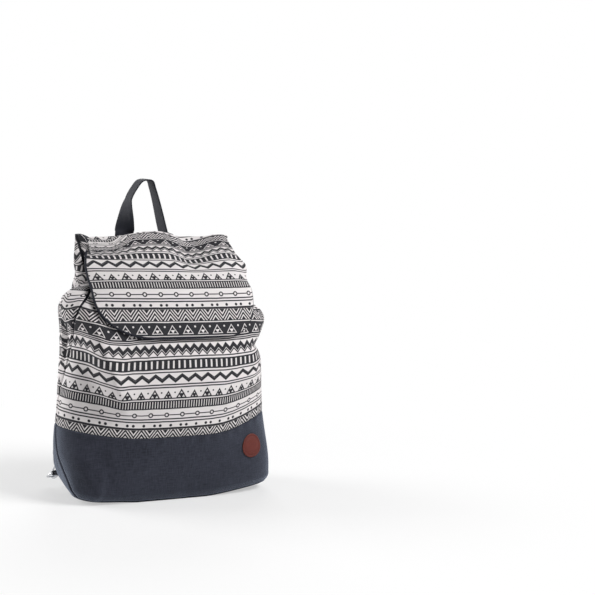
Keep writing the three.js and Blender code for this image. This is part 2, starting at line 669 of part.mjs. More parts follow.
// Snap hook in its own frame: local Y runs from the eye bar down to the bend, local X crosses the opening
const bossTop = EYE_HEIGHT;
const bossFoot = bossTop + BOSS_LENGTH;
const collarFoot = bossFoot + FIT + 2.6;
const bendMiddle = collarFoot + HOOK_LENGTH - HOOK_BEND;
const barRest = collarFoot + HOOK_LENGTH - HOOK_WIRE / 2 - RING_WIRE / 2 - 2;
const gatePivot = { x: -4, y: collarFoot + 2.4 };
const gateTip = { x: -HOOK_BEND, y: bendMiddle - 3.6 };

function eyeGeometry() {
  const half = WEBBING_WIDTH / 2 + EYE_WIRE / 2 + FIT;
  const path = new THREE.Path();
  path.moveTo(-half + 3, 0);
  path.lineTo(half - 3, 0);
  path.quadraticCurveTo(half, 0, half, 3);
  path.bezierCurveTo(half, 9, half - 4, bossTop + 3, 6, bossTop + 3);
  path.lineTo(-6, bossTop + 3);
  path.bezierCurveTo(-half + 4, bossTop + 3, -half, 9, -half, 3);
  path.quadraticCurveTo(-half, 0, -half + 3, 0);
  const loop = solid(wire(path.getPoints(5).slice(0, -1), EYE_WIRE, 6, true));
  const boss = solid(pole(BOSS, bossTop, bossFoot));
  const hole = solid(pole(POST + FIT, bossTop - 2, bossFoot + 2));
  return geometryOf(loop.add(boss).subtract(hole));
}

function hookGeometry() {
  const path = new THREE.Path();
  path.moveTo(0, collarFoot - 0.4);
  path.bezierCurveTo(0, collarFoot + 3, HOOK_BEND, collarFoot + 4, HOOK_BEND, collarFoot + 9);
  path.lineTo(HOOK_BEND, bendMiddle);
  path.absarc(0, bendMiddle, HOOK_BEND, 0, Math.PI, false);
  path.lineTo(-HOOK_BEND, gateTip.y + GATE_WIRE / 2 + FIT);
  const body = solid(wire(path.getPoints(5), HOOK_WIRE, 6));
  const head = solid(pole(POST + 1.5, bossTop - FIT - 2, bossTop - FIT));
  const post = solid(pole(POST, bossTop - FIT - 1, bossFoot + FIT + 1, 10));
  const collar = solid(pole(BOSS - 0.4, bossFoot + FIT, collarFoot));
  const ear = new THREE.Shape();
  ear.moveTo(-gatePivot.x, collarFoot - 1.5);
  ear.lineTo(gatePivot.x - 2.4, collarFoot - 1.5);
  ear.lineTo(gatePivot.x - 2.4, gatePivot.y);
  ear.absarc(gatePivot.x, gatePivot.y, 2.4, Math.PI, 0, true);
  ear.lineTo(-gatePivot.x, gatePivot.y);
  ear.closePath();
  const ears = solid(plate(ear, 5.6, 5));
  const slot = solid(box(12, 12, 2 + 2 * FIT, spot(gatePivot.x - 2.6, gatePivot.y + 1.6)));
  const pin = solid(pole(1 + FIT, -5, 5, 8).rotateX(Math.PI / 2).translate(gatePivot.x, gatePivot.y, 0));
  const fork = ears.subtract(slot).subtract(pin);
  return geometryOf(head.add(post).add(collar).add(body.subtract(slot)).add(fork));
}

function gateGeometry() {
  const lever = solid(wire([spot(gatePivot.x, gatePivot.y), spot(-HOOK_BEND, gatePivot.y + 6),
    spot(gateTip.x, gateTip.y)], GATE_WIRE, 6));
  const knuckle = solid(pole(1.9, -1, 1, 10).rotateX(Math.PI / 2).translate(gatePivot.x, gatePivot.y, 0));
  const pin = solid(pole(1, -2.7, 2.7, 8).rotateX(Math.PI / 2).translate(gatePivot.x, gatePivot.y, 0));
  const flat = solid(box(20, 6.4, 10, spot(gatePivot.x, gatePivot.y - 0.4)));
  const thin = solid(box(20, 6.4, 2, spot(gatePivot.x, gatePivot.y - 0.4)));
  return geometryOf(lever.subtract(flat.subtract(thin)).add(knuckle).add(pin));
}

// Strap slider: side rails, two bars over the strap and one under it.
// Local X runs across the strap, Y along it and Z off it.
function sliderGeometry() {
  const half = WEBBING_WIDTH / 2 + FIT + SLIDER_BAR / 2;
  const off = WEBBING / 2 + FIT + SLIDER_BAR / 2;
  const end = SLIDER_LENGTH / 2 - SLIDER_BAR / 2;
  const rail = (x) => solid(box(SLIDER_BAR, SLIDER_LENGTH, 2 * off + SLIDER_BAR, spot(x, 0)));
  const bar = (y, z) => solid(box(2 * half, SLIDER_BAR, SLIDER_BAR, spot(0, y, z)));
  return geometryOf(rail(half).add(rail(-half)).add(bar(end, off)).add(bar(-end, off)).add(bar(0, -off)));
}

// Shoulder strap with its lower run straight, ending in a sewn loop round the eye bar
function strapGeometry(sign, eye, down, wide) {
  const anchorX = (sign * STRAP_SPAN) / 2;
  const sewnTop = BODY_HEIGHT - HANDLE_SEWN - 4;
  const off = SEAM + 0.5 + WEBBING / 2;
  const stations = steps(0, STRAP_SEWN, 3).map((drop) => {
    const z = sewnTop - drop;
    const at = spot(anchorX, backY(anchorX, z) + off, z);
    return { at, wide: spot(1, 0), face: spot(0, 1) };
  });
  const start = stations[stations.length - 1].at;
  const finish = eye.clone().addScaledVector(down, -STRAP_STRAIGHT);
  const pull = start.distanceTo(finish) * 0.36;
  const curve = new THREE.CubicBezierCurve3(start, start.clone().add(spot(0, 0.25 * pull, -pull)),
    finish.clone().addScaledVector(down, -pull), finish);
  const place = (at, along, share) => {
    const across = spot(1, 0).lerp(wide, share);
    across.addScaledVector(along, -across.dot(along)).normalize();
    stations.push({ at, wide: across, face: across.clone().cross(along).normalize() });
  };
  for (const t of steps(0, 1, 12).slice(1)) {
    place(curve.getPointAt(t), curve.getTangentAt(t), t);
  }
  place(eye.clone().addScaledVector(down, -7), down, 1);
  return ribbon(stations, WEBBING_WIDTH, WEBBING);
}

for (const [side, sign] of SIDES) {
  const ring = lowerRing(sign);
  const tab = placed(ring.bar, ring.along, ring.out);
  addNode(`lower_tab_${side}`, loopTab(ring.tail, ringEye, TAB_WIDTH), 'webbing', tab);
  addNode(`lower_ring_${side}`, ringGeometry(), 'metal', placed(ring.bar, ring.along, ring.reach));

  const upper = upperRing(sign);
  addNode(`upper_tab_${side}`, loopTab(UPPER_TAIL, ringEye, TAB_WIDTH, true), 'webbing',
    placed(upper.bar, upper.along, UP.clone().negate()));
  addNode(`upper_ring_${side}`, ringGeometry(), 'metal', placed(upper.bar, upper.along, upper.reach));

  const held = ring.bar.clone().addScaledVector(ring.reach, 0.94 * RING_DEPTH)
    .addScaledVector(ring.along, -sign * HOOK_ASIDE);
  const down = spot(sign * HOOK_LEAN, -HOOK_PULL, -0.93).normalize();
  const eye = held.clone().addScaledVector(down, -barRest);
  const wide = spot(1, 0).addScaledVector(down, -down.x).normalize();
  const opening = down.clone().cross(ring.along).normalize();
  addNode(`hook_eye_${side}`, eyeGeometry(), 'metal', placed(eye, wide, down));
  addNode(`snap_hook_${side}`, hookGeometry(), 'metal', placed(eye, opening, down));
  addNode(`hook_gate_${side}`, gateGeometry(), 'metal', placed(eye, opening, down));

  const strap = solid(strapGeometry(sign, eye, down, wide));
  const endFrame = placed(eye, wide, down);
  endFrame.updateMatrixWorld(true);
  const end = solid(loopTab(9, EYE_WIRE / 2 + FIT, WEBBING_WIDTH).applyMatrix4(endFrame.matrixWorld));
  addNode(`shoulder_strap_${side}`, geometryOf(strap.add(end)), 'webbing');
  const middle = eye.clone().addScaledVector(down, -SLIDER_ALONG);
  addNode(`strap_slider_${side}`, sliderGeometry(), 'metal', placed(middle, wide, down));
}

// Zip: two tapes across the mouth with a coil each, a slider between the coils and its puller
const zipHalf = MOUTH_WIDTH / 2 - ZIP_END;
const coilMiddle = COIL_GAP / 2 + COIL / 2;
const tapeEdge = COIL_GAP / 2 + COIL + 0.4;
const zipZ = MOUTH_HEIGHT + SEAM + TAPE / 2;
function tapeShape(front) {
  const xs = steps(-zipHalf, zipHalf, 12);
  const edge = xs.map((x) => new THREE.Vector2(x, front
    ? Math.min(frontY(x, MOUTH_HEIGHT) + 0.5, ZIP_Y - tapeEdge - TAPE_LEAST)
    : Math.max(backY(x, MOUTH_HEIGHT) - CLOTH - 1.2, ZIP_Y + tapeEdge + TAPE_LEAST)));
  const straight = front ? ZIP_Y - tapeEdge : ZIP_Y + tapeEdge;
  const inside = [new THREE.Vector2(zipHalf, straight), new THREE.Vector2(-zipHalf, straight)];
  return new THREE.Shape([...edge, ...inside]);
}
addNode('zip_tape_front', plate(tapeShape(true), TAPE).translate(0, 0, zipZ), 'tape');
addNode('zip_tape_back', plate(tapeShape(false), TAPE).translate(0, 0, zipZ), 'tape');
const coil = (y) => box(2 * zipHalf, COIL, COIL, spot(0, y, zipZ));
addNode('zip_coil_front', coil(ZIP_Y - coilMiddle), 'tape');
addNode('zip_coil_back', coil(ZIP_Y + coilMiddle), 'tape');

const plateOff = COIL / 2 + FIT + ZIP_PLATE / 2;
const bail = 3.4;
const sliderX = -zipHalf + ZIP_SLIDER_LENGTH / 2 + 2;
const slab = (z) => solid(box(ZIP_SLIDER_LENGTH, ZIP_SLIDER_WIDTH, ZIP_PLATE, spot(0, 0, z)));
const web = solid(box(ZIP_SLIDER_LENGTH - 2, COIL_GAP - 2 * FIT, 2 * plateOff, spot(0, 0)));
const hingeLift = plateOff + ZIP_PLATE / 2 + PULLER / 2 + FIT;
const bailPath = [
  spot(bail, plateOff - hingeLift),
  ...steps(0, Math.PI, 8).map((a) => spot(bail * Math.cos(a), bail * Math.sin(a))),
  spot(-bail, plateOff - hingeLift),
];
const bailWire = solid(wire(bailPath, 1.3, 6).rotateX(Math.PI / 2).translate(0, 0, hingeLift));
const zipHolder = new THREE.Group();
zipHolder.position.set(sliderX, ZIP_Y, zipZ);
group.add(zipHolder);
const zipSlider = slab(plateOff).add(slab(-plateOff)).add(web).add(bailWire);
addNode('zip_slider', geometryOf(zipSlider), 'metal', zipHolder);
const pullerShape = new THREE.Shape();
const pullerHalf = PULLER_WIDTH / 2;
pullerShape.moveTo(-PULLER / 2, -pullerHalf);
pullerShape.lineTo(PULLER_LENGTH - pullerHalf, -pullerHalf);
pullerShape.absarc(PULLER_LENGTH - pullerHalf, 0, pullerHalf, -Math.PI / 2, Math.PI / 2, false);
pullerShape.lineTo(-PULLER / 2, pullerHalf);
pullerShape.closePath();
const slotShape = new THREE.Path([[PULLER / 2, -1.6], [7, -1.6], [7, 1.6], [PULLER / 2, 1.6]]
  .map(([x, y]) => new THREE.Vector2(x, y)));
pullerShape.holes.push(slotShape);
addNode('zip_puller', plate(pullerShape, PULLER).translate(0, 0, hingeLift), 'metal', zipHolder);

export default group;
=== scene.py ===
"""A flap-top backpack in printed canvas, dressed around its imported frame. Millimetres, front along -Y."""

import json
import math

import bpy
import numpy as np
from mathutils import Matrix, Vector


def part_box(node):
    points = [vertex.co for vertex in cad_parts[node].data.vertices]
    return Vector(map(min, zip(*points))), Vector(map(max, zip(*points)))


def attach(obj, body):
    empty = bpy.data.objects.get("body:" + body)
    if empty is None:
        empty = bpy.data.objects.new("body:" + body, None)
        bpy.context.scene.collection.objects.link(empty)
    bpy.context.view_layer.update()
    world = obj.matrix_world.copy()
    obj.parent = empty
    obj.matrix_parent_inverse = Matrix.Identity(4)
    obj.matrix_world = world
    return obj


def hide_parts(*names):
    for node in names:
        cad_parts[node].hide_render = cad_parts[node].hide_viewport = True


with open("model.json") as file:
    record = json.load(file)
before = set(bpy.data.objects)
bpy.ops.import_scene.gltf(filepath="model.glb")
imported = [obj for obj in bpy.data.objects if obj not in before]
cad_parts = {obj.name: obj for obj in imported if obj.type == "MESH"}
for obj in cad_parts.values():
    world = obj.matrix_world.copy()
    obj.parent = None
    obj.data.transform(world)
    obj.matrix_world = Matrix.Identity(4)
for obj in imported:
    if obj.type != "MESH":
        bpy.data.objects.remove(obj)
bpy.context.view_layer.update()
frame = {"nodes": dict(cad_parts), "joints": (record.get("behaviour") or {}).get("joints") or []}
MM = 0.001
JOINTS = {joint["name"]: joint for joint in frame["joints"]}


def box_mm(node):
    """Lowest and highest corner of a CAD node, in millimetres."""
    low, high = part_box(node)
    return np.array(low) / MM, np.array(high) / MM


# Body: sizes that the frame gives, and the same driving sizes as its solids
BODY_HEIGHT = box_mm("back_print_panel")[1][2]
MOUTH_HEIGHT = box_mm("front_print_panel")[1][2]
BAND_HEIGHT = box_mm("front_print_panel")[0][2]
FRONT_DEPTH = 86.0
BACK_DEPTH = 66.0
BODY_WIDTH = 333.0
BELLY_WIDTH = 316.0
BASE_WIDTH = 329.0
BASE_ROUND = 8.0
BASE_SAG = 16.0
MOUTH_WIDTH = 278.0
NECK_DROP = 52.0
SHOULDER_DROP = 100.0
CLOTH = 2.4
SEAM = 0.5
FLAT_SHARE = 0.35
SAG_POWER = 1.4

# Height, half width, front, back, squareness, line of the sides, rise beside the sag, seam turn in degrees
SECTION_KEYS = ("height", "half", "front", "back", "square", "seam", "lift", "split")
SECTIONS = dict(zip(SECTION_KEYS, np.array([
    [0, BASE_WIDTH / 2 - BASE_ROUND, FRONT_DEPTH - 24, BACK_DEPTH - 12, 4.6, -7, BASE_SAG, 78],
    [14, BASE_WIDTH / 2, FRONT_DEPTH - 15, BACK_DEPTH - 4, 4.4, -7, BASE_SAG, 79],
    [BAND_HEIGHT, BODY_WIDTH / 2, FRONT_DEPTH - 8, BACK_DEPTH, 2.3, -3, BASE_SAG - 2, 91],
    [BAND_HEIGHT + 105, BELLY_WIDTH / 2, FRONT_DEPTH, BACK_DEPTH, 2.8, 1, BASE_SAG - 6, 85],
    [BODY_HEIGHT - SHOULDER_DROP, BELLY_WIDTH / 2, FRONT_DEPTH - 22, BACK_DEPTH - 8, 2.4, -6, 0, 76.5],
    [BODY_HEIGHT - NECK_DROP, MOUTH_WIDTH / 2 - 3, 31, 54, 2.2, 6, 0, 81],
    [MOUTH_HEIGHT, MOUTH_WIDTH / 2 - 2, 8, 50, 2.1, 16, 0, 85],
    [BODY_HEIGHT, MOUTH_WIDTH / 2 - 5, -8, 48, 2.1, 26, 0, 89],
]).T))

# Panels: points along them, and the seams between them
FINE_POINTS = 700
PANEL_COLUMNS = 190
SEAM_TURN = SEAM / BODY_WIDTH
SEAM_GROOVE = 3.4
SEAM_HALF = 2.2
SEAM_STEPS = np.array([0, 0.7, 1.4, 2.2, 3.2, 4.6, 6.4, 9.0])  # columns of points beside a seam
SEAM_SIDE = 12.0  # the even columns start this far from a seam
SEAM_SHADE_COLUMNS = 2  # columns painted black beside each seam: painted shade in its groove
SIDE_RISE_START = 296.0
BASE_BEND = 16.0  # rows of the band lie closer below this height

# Tuck on each side
TUCK_MIDDLE = BODY_HEIGHT - 83.0
TUCK_DEPTH = 15.0
TUCK_BACK_SHARE = 0.65  # the tuck is shallower by this share behind
TUCK_HALF = 14.0
TUCK_TURN = 0.5  # how far it reaches round the bag, in radians
TUCK_SLOPE_LEFT = 0.7
TUCK_SLOPE_RIGHT = 0.4
TUCK_RIGHT_LOWER = 17.0
TUCK_LEFT_DEEPER = 7.0
TUCK_LEFT_HIGHER = 10.0
TUCK_LEFT_LIP = 7.0
TUCK_PUFF = 5.0
TUCK_PUFF_BELOW = 2.3
TUCK_PUFF_WIDER = 1.5
ROW_SLOPE_LEFT = 0.5
ROW_SLOPE_RIGHT = 0.2
ROW_REACH = 45.0

# Folds of the front: height, start and end in the front view, half width, fade at the ends
FRONT_FOLDS = [
    (-11.0, (-158, 268), (-120, 140), 20, 25),
    (2.6, (136, 270), (122, 170), 13, 25),
    (-4.0, (166, 224), (122, 238), 7, 16),
    (3.2, (-150, 96), (-128, 20), 13, 25),
    (-2.4, (-124, 90), (-102, 34), 12, 25),
    (1.8, (-112, 58), (-122, 20), 7, 12),
    (1.4, (-40, 30), (10, 8), 9, 16),
]
BENT_EDGE = (13.0, (-142, 310), (-84, 150), 27, 34)
RIPPLE_BEHIND = 1.6
PUCKER = 0.5
BAND_GROOVE = 1.0

# Moves of the base's corners: how far, which side, where across they set in, at what heights they fade
FRONT_ASIDE = [(11.0, -1, (95, 160), (4, 62)), (7.0, 1, (100, 160), (8, 100)), (5.0, 1, (100, 160), (0, 16))]
BACK_ASIDE = [(4.0, -1, (100, 160), (20, 95)), (8.0, -1, (100, 160), (0, 40))]
FRONT_DOWN = [(8.0, -1, (70, 160), (0, 60)), (2.0, 1, (70, 160), (0, 60))]

# How far the cloth settles at the band's right side and at the corners of the mouth
BAND_RIGHT_HIGH = 9.0
MOUTH_CORNER_START = 318.0
MOUTH_LEFT_UP = 9.0
MOUTH_LEFT_IN = 2.0
MOUTH_RIGHT_DOWN = 18.0
MOUTH_RIGHT_IN = 9.0
RIGHT_SWALLOWED = 17.0
RIGHT_PINCH = 7.0
RIGHT_PINCH_HEIGHT = 224.0

# Flap
FLAP_WIDTH = 258.0
FLAP_FOOT = BODY_HEIGHT - 137.5
FLAP_BEND = BODY_HEIGHT - 93.0
FLAP_ROUND_TOP = BODY_HEIGHT - 60.0
FLAP_BACK_IN = 17.0
FLAP_SKEW = 5.0
FLAP_CORNER_WIDE = 72.0
FLAP_CORNER_UNEVEN = 17.0
FLAP_CORNER_TALL = 62.0
FLAP_CLOTH = 2.0
FLAP_LIFT = 3.0
FLAP_HUG = 0.8
FLAP_SIDE_FALL = 4.0
FLAP_PRINT_ASIDE = 33.75  # the flap is cut from the cloth this far aside of the front panel
FLAP_TILT = 0.014  # the flap's rows fall to the right by this share
FLAP_TILT_X = -40.0
DENT_DEPTH = 11.5
DENT_X = 54.0
DENT_ASIDE = 14.0
DENT_HALF = 23.0
DENT_WIDER = 1.7
DENT_PRINT = 4.0
CRESTS = [(6.5, -7.0, 36.0), (4.5, 96.0, 24.0)]  # rise, place across and half width
EDGE_FALL = 8.0
LEFT_FALL = 6.0
EDGE_CURL = 7.0
EDGE_ROLL = 9.0
EDGE_ROLL_TURN = 1.9
EDGE_FULLER = 12.0
FOLD_HEIGHT = 2.6  # crumples on the flap's top
GATHER = 1.1  # cloth in gathers too fine to model, as a share of what shows
GATHER_LEFT = 2.2
BINDING_OFF = 0.4
BINDING_WIDE = 1.8
BINDING_THICK = 1.6
BINDING_SLIM = 0.4  # slimmer by this share on the right

# Webbing
WEBBING_WIDTH = 30.0
WEBBING = 2.0
EDGE_TURNS = np.radians([-90, -45, 0, 45, 90])  # points round each edge
FACE_SHARES = (0.3, 0.1, -0.1, -0.3)  # points inside each face
HANDLE_SPAN = 66.0
HANDLE_LEAN = -13.0
HANDLE_RISE = 91.0
HANDLE_SEWN = 13.0
HANDLE_BARE = 0.12
HANDLE_TURNED = 0.67
HANDLE_RIGHT_TURN = math.radians(82)
HANDLE_RIGHT_END = 0.12
HANDLE_SHARES = (0.3, 0.66, 0.87, 0.99)
HANDLE_INWARD = {-1: (0.03, 0.09, 0.24, 0.39), 1: (0.10, 0.23, 0.32, 0.39)}
STRAP_SEWN = 26.0
STRAP_BELOW = 4.0
STRAP_SPAN = 78.0
STRAP_STRAIGHT = 92.0
STRAP_PULL = 0.36  # how stiffly it leaves its ends, as a share of the way
STRAP_OUT = 0.25
STRAP_TWIST = 2.2
STRAP_RUN_END = 10.0
STRAP_TAIL_START = 8.0
STRAP_TAIL = 13.0
EYE_RADIUS = 1.6

# Patch, and rings with their tabs
PATCH = 36.0
PATCH_THICK = 1.6
PATCH_HEIGHT = 64.0
PATCH_X = 128.0
PATCH_PROFILE = [(0.03, 1.0), (0.5, 1.0), (0.76, 1.0), (0.8, 0.7), (0.84, 1.0), (0.95, 1.0), (0.99, 0.8),
                 (1.0, 0.5), (0.99, 0.1), (0.95, 0.0), (0.03, 0.0)]
RING_WIRE = 3.0
RING_DEPTH = 17.0
RING_BEND = 2.4
TAB_WIDTH = 20.0
TAB_TAIL = 14.0
TAB_HALF = 1.05
TAB_SHORTER = 0.6
UPPER_TAIL = 16.0
FIT = 0.4
SLACK = 0.1
RING_EYE = RING_WIRE / 2 + FIT
ROUND_SIDES = 14


# Small helpers
def smooth(value, low, high):
    """0 below low, 1 above high and a smooth step between."""
    t = np.clip((value - low) / (high - low), 0, 1)
    return t * t * (3 - 2 * t)


def bell(t):
    return np.exp(-t * t)


def unit(vector):
    vector = np.asarray(vector, float)
    return vector / np.linalg.norm(vector, axis=-1, keepdims=True)


def full_turn(count):
    return np.linspace(0, 2 * np.pi, count, endpoint=False)


def run_along(points):
    """Distance along rows of points, from the first row."""
    steps = np.linalg.norm(np.diff(points, axis=0), axis=-1)
    return np.concatenate([np.zeros((1,) + steps.shape[1:]), np.cumsum(steps, axis=0)])


def grid_normals(grid):
    """Normals of a grid of points: rows across the first axis, columns across the second."""
    return unit(np.cross(np.gradient(grid, axis=1), np.gradient(grid, axis=0)))


def tangents(at):
    return unit(np.gradient(at, axis=0))


def between(t, low, high, first, second):
    """Straight blend from first at low to second at high."""
    return (high - t) / (high - low) * first + (t - low) / (high - low) * second


def smooth_line(points, count):
    """Evenly spaced points on a smooth curve through the given ones."""
    points = np.array(points, float)
    ends = np.vstack([2 * points[0] - points[1], points, 2 * points[-1] - points[-2]])
    knots = np.concatenate([[0], np.cumsum(np.sqrt(np.linalg.norm(np.diff(ends, axis=0), axis=1)))])
    fine = []
    for i in range(1, len(ends) - 2):
        k, p = knots[i - 1:i + 3], ends[i - 1:i + 3]
        t = np.linspace(k[1], k[2], 40)[:, None]
        a = [between(t, k[j], k[j + 1], p[j], p[j + 1]) for j in range(3)]
        b = [between(t, k[j], k[j + 2], a[j], a[j + 1]) for j in range(2)]
        fine.append(between(t, k[1], k[2], b[0], b[1]))
    fine = np.vstack(fine)
    run = run_along(fine)
    at = np.linspace(0, run[-1], count)
    return np.stack([np.interp(at, run, fine[:, axis]) for axis in range(3)], -1)


# Plain skin of the body
def section(key, z):
    """Smooth value of one column of the sections."""
    heights, values = SECTIONS["height"], SECTIONS[key]
    last = len(heights) - 1
    ends = np.arange(last + 1)
    before, after = np.maximum(ends - 1, 0), np.minimum(ends + 1, last)
    slopes = (values[after] - values[before]) / (heights[after] - heights[before])
    i = np.clip(np.searchsorted(heights, z, side="right") - 1, 0, last - 1)
    step = heights[i + 1] - heights[i]
    t = np.clip((z - heights[i]) / step, 0, 1)
    bend = (1 - t) * slopes[i] - t * slopes[i + 1]
    ease = smooth(t, 0, 1)
    return values[i] * (1 - ease) + values[i + 1] * ease + bend * t * (1 - t) * step


def sag_rise(x, z):
    beside = np.maximum(np.abs(x) / section("half", z) - FLAT_SHARE, 0) / (1 - FLAT_SHARE)
    return section("lift", z) * np.minimum(beside, 1) ** SAG_POWER


def skin(turn, z):
    """Outer skin of the bag with its tucks; the turn is 0 in the middle of the front."""
    turn, z = np.broadcast_arrays(np.asarray(turn, float), np.asarray(z, float))
    seam, half, square = section("seam", z), section("half", z), section("square", z)
    reach_out = np.where(np.cos(turn) > 0, section("front", z) + seam, section("back", z) - seam)
    across, along = np.abs(np.sin(turn)) / half, np.abs(np.cos(turn)) / reach_out
    reach = (across ** square + along ** square) ** (-1 / square)
    x, y = reach * np.sin(turn), seam - reach * np.cos(turn)
    left = x < 0
    off = z - TUCK_MIDDLE + np.where(left, TUCK_SLOPE_LEFT * y - TUCK_LEFT_HIGHER,
                                     TUCK_SLOPE_RIGHT * y + TUCK_RIGHT_LOWER)
    side = bell(np.arccos(np.minimum(np.abs(np.sin(turn)), 1)) / TUCK_TURN)
    lip = np.where(left, TUCK_LEFT_LIP, TUCK_HALF)
    puff = TUCK_PUFF * bell((off + TUCK_PUFF_BELOW * lip) / (TUCK_PUFF_WIDER * TUCK_HALF))
    deeper = np.where(left, TUCK_LEFT_DEEPER, 0) * smooth(-y, 0, 30)
    depth = TUCK_DEPTH * (1 - TUCK_BACK_SHARE * smooth(y, -5, 45)) + deeper
    valley = depth * bell(off / np.where(off < 0, lip, TUCK_HALF))
    return np.stack([x + np.sign(x) * side * (puff - valley), y, z + sag_rise(x, z)], -1)


def skin_out(turn, z):
    """Directions straight out of the skin."""
    step = 1e-3
    return unit(np.cross(skin(turn + step, z) - skin(turn - step, z), skin(turn, z + 1) - skin(turn, z - 1)))


def face_y(face, x, z):
    """Depth of the front or the back without tucks."""
    sign = 1 if face == "back" else -1
    seam, square = section("seam", z), section("square", z)
    share = np.minimum(np.abs(x) / section("half", z), 1) ** square
    return seam + sign * (section(face, z) - sign * seam) * (1 - share) ** (1 / square)


# Meshes
def add_mesh(name, points, faces, materials, uv=None, face_materials=None):
    """Smooth mesh with the cloth's flat coordinates and a material for each face."""
    mesh = bpy.data.meshes.new(name)
    mesh.from_pydata((np.asarray(points) * MM).tolist(), [], [list(map(int, f)) for f in faces])
    for material in materials:
        mesh.materials.append(material)
    if uv is not None:
        corners = np.zeros(len(mesh.loops), np.int32)
        mesh.loops.foreach_get("vertex_index", corners)
        layer = mesh.uv_layers.new(name="cloth")
        layer.data.foreach_set("uv", (np.asarray(uv)[corners] * MM).astype(np.float32).ravel())
    if face_materials is not None:
        mesh.polygons.foreach_set("material_index", np.asarray(face_materials, np.int32))
    mesh.polygons.foreach_set("use_smooth", np.full(len(mesh.polygons), True))
    mesh.update()
    return add_object(name, mesh)


def add_object(name, data):
    obj = bpy.data.objects.new(name, data)
    bpy.context.scene.collection.objects.link(obj)
    return obj


def dress(obj, slot, *nodes, body="root"):
    """The piece stands for CAD nodes and rides on a body; the slot is not used."""
    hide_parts(*nodes)
    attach(obj, body)
    return obj


def quads(rows, cols, start=0, turned=False):
    i, j = np.meshgrid(np.arange(rows - 1), np.arange(cols - 1), indexing="ij")
    a = (start + i * cols + j).ravel()
    made = np.stack([a, a + 1, a + cols + 1, a + cols], -1)
    return made[:, ::-1] if turned else made


def shell(name, outer, inner, uv, materials, shade_columns=0):
    """Closed cloth between an outer and an inner grid of points.

    The inner side has the second material, and the columns of painted seam shade along both sides the third.
    """
    rows, cols = outer.shape[:2]
    count = rows * cols
    edge = np.concatenate([
        np.arange(cols), np.arange(1, rows) * cols + cols - 1,
        np.arange(cols - 2, -1, -1) + (rows - 1) * cols, np.arange(rows - 2, 0, -1) * cols])
    after = np.roll(edge, -1)
    rim = np.stack([edge, edge + count, after + count, after], -1)
    outside, inside = quads(rows, cols), quads(rows, cols, count, True)
    column = np.arange(len(outside)) % (cols - 1)
    # columns beside the seams take the third material: painted shade of the seam groove
    seam_shade = np.where((column < shade_columns) | (column >= cols - 1 - shade_columns), 2, 0)
    marks = np.concatenate([seam_shade, np.ones(len(inside)), np.zeros(len(rim))])
    points = np.concatenate([outer.reshape(-1, 3), inner.reshape(-1, 3)])
    coordinates = np.concatenate([uv.reshape(-1, 2)] * 2)
    return add_mesh(name, points, np.vstack([outside, inside, rim]), materials, coordinates, marks)


def loft(name, rings, uv, material, loop=False):
    """Body swept through rings of points, looped or capped."""
    count, size = rings.shape[:2]
    j = np.arange(size)
    k = (j + 1) % size
    faces = []
    for i in range(count if loop else count - 1):
        a, b = i * size, ((i + 1) % count) * size
        faces.extend(np.stack([a + j, a + k, b + k, b + j], -1).tolist())
    if not loop:
        faces.append(j[::-1])
        faces.append((count - 1) * size + j)
    return add_mesh(name, rings.reshape(-1, 3), faces, [material], uv.reshape(-1, 2))


def strip_uv(across, along):
    """Flat coordinates of a strip, from its cross section and its stations."""
    return np.stack(np.broadcast_arrays(across[None], along[:, None]), -1)


def ribbon(name, at, wide, face, width, thickness):
    """Band of black webbing with round edges, along stations with a width and a face direction each."""
    round_off = thickness / 2
    right = [(width / 2 - round_off + round_off * math.cos(a), round_off * math.sin(a)) for a in EDGE_TURNS]
    top = [(share * width, round_off) for share in FACE_SHARES]
    outline = np.vstack([right + top, np.negative(right + top)])
    rings = at[:, None] + outline[None, :, :1] * wide[:, None] + outline[None, :, 1:] * face[:, None]
    return loft(name, rings, strip_uv(outline[:, 0], run_along(at)), STRAP_BLACK)


def oval_rings(at, aside, face, wide, thick):
    """Oval cross sections along stations, with a half width along each of two directions."""
    turns = full_turn(ROUND_SIDES)[:, None]
    return at[:, None] + wide * np.cos(turns) * aside[:, None] + thick * np.sin(turns) * face[:, None]


# Shader arithmetic
class Value:
    """Output of a shader node, for plain arithmetic with numbers and other outputs."""

    def __init__(self, nodes, socket):
        self.nodes, self.socket = nodes, socket

    def op(self, operation, *others, clamp=False):
        return self.nodes.op(operation, self, *others, clamp=clamp)

    def times(self, factor, plus, clamp=False):
        """This value times a factor, plus another value."""
        return self.op("MULTIPLY_ADD", factor, plus, clamp=clamp)

    def fill(self, soft):
        """1 inside a distance below 0, 0 outside, with a soft edge."""
        return self.times(-1 / soft, 0.5, clamp=True)

    def __add__(self, other):
        return self.op("ADD", other)

    def __sub__(self, other):
        return self.op("SUBTRACT", other)

    def __rsub__(self, other):
        return self.nodes.op("SUBTRACT", other, self)

    def __mul__(self, other):
        return self.op("MULTIPLY", other)

    def __neg__(self):
        return self * -1

    def __abs__(self):
        return self.op("ABSOLUTE")


def lowest(found, *others):
    for other in others:
        found = found.op("MINIMUM", other)
    return found


def highest(found, *others):
    for other in others:
        found = found.op("MAXIMUM", other)
    return found


def radial(a, b):
    """Distance from a centre, by two distances square to each other."""
    return a.times(a, b * b).op("SQRT")


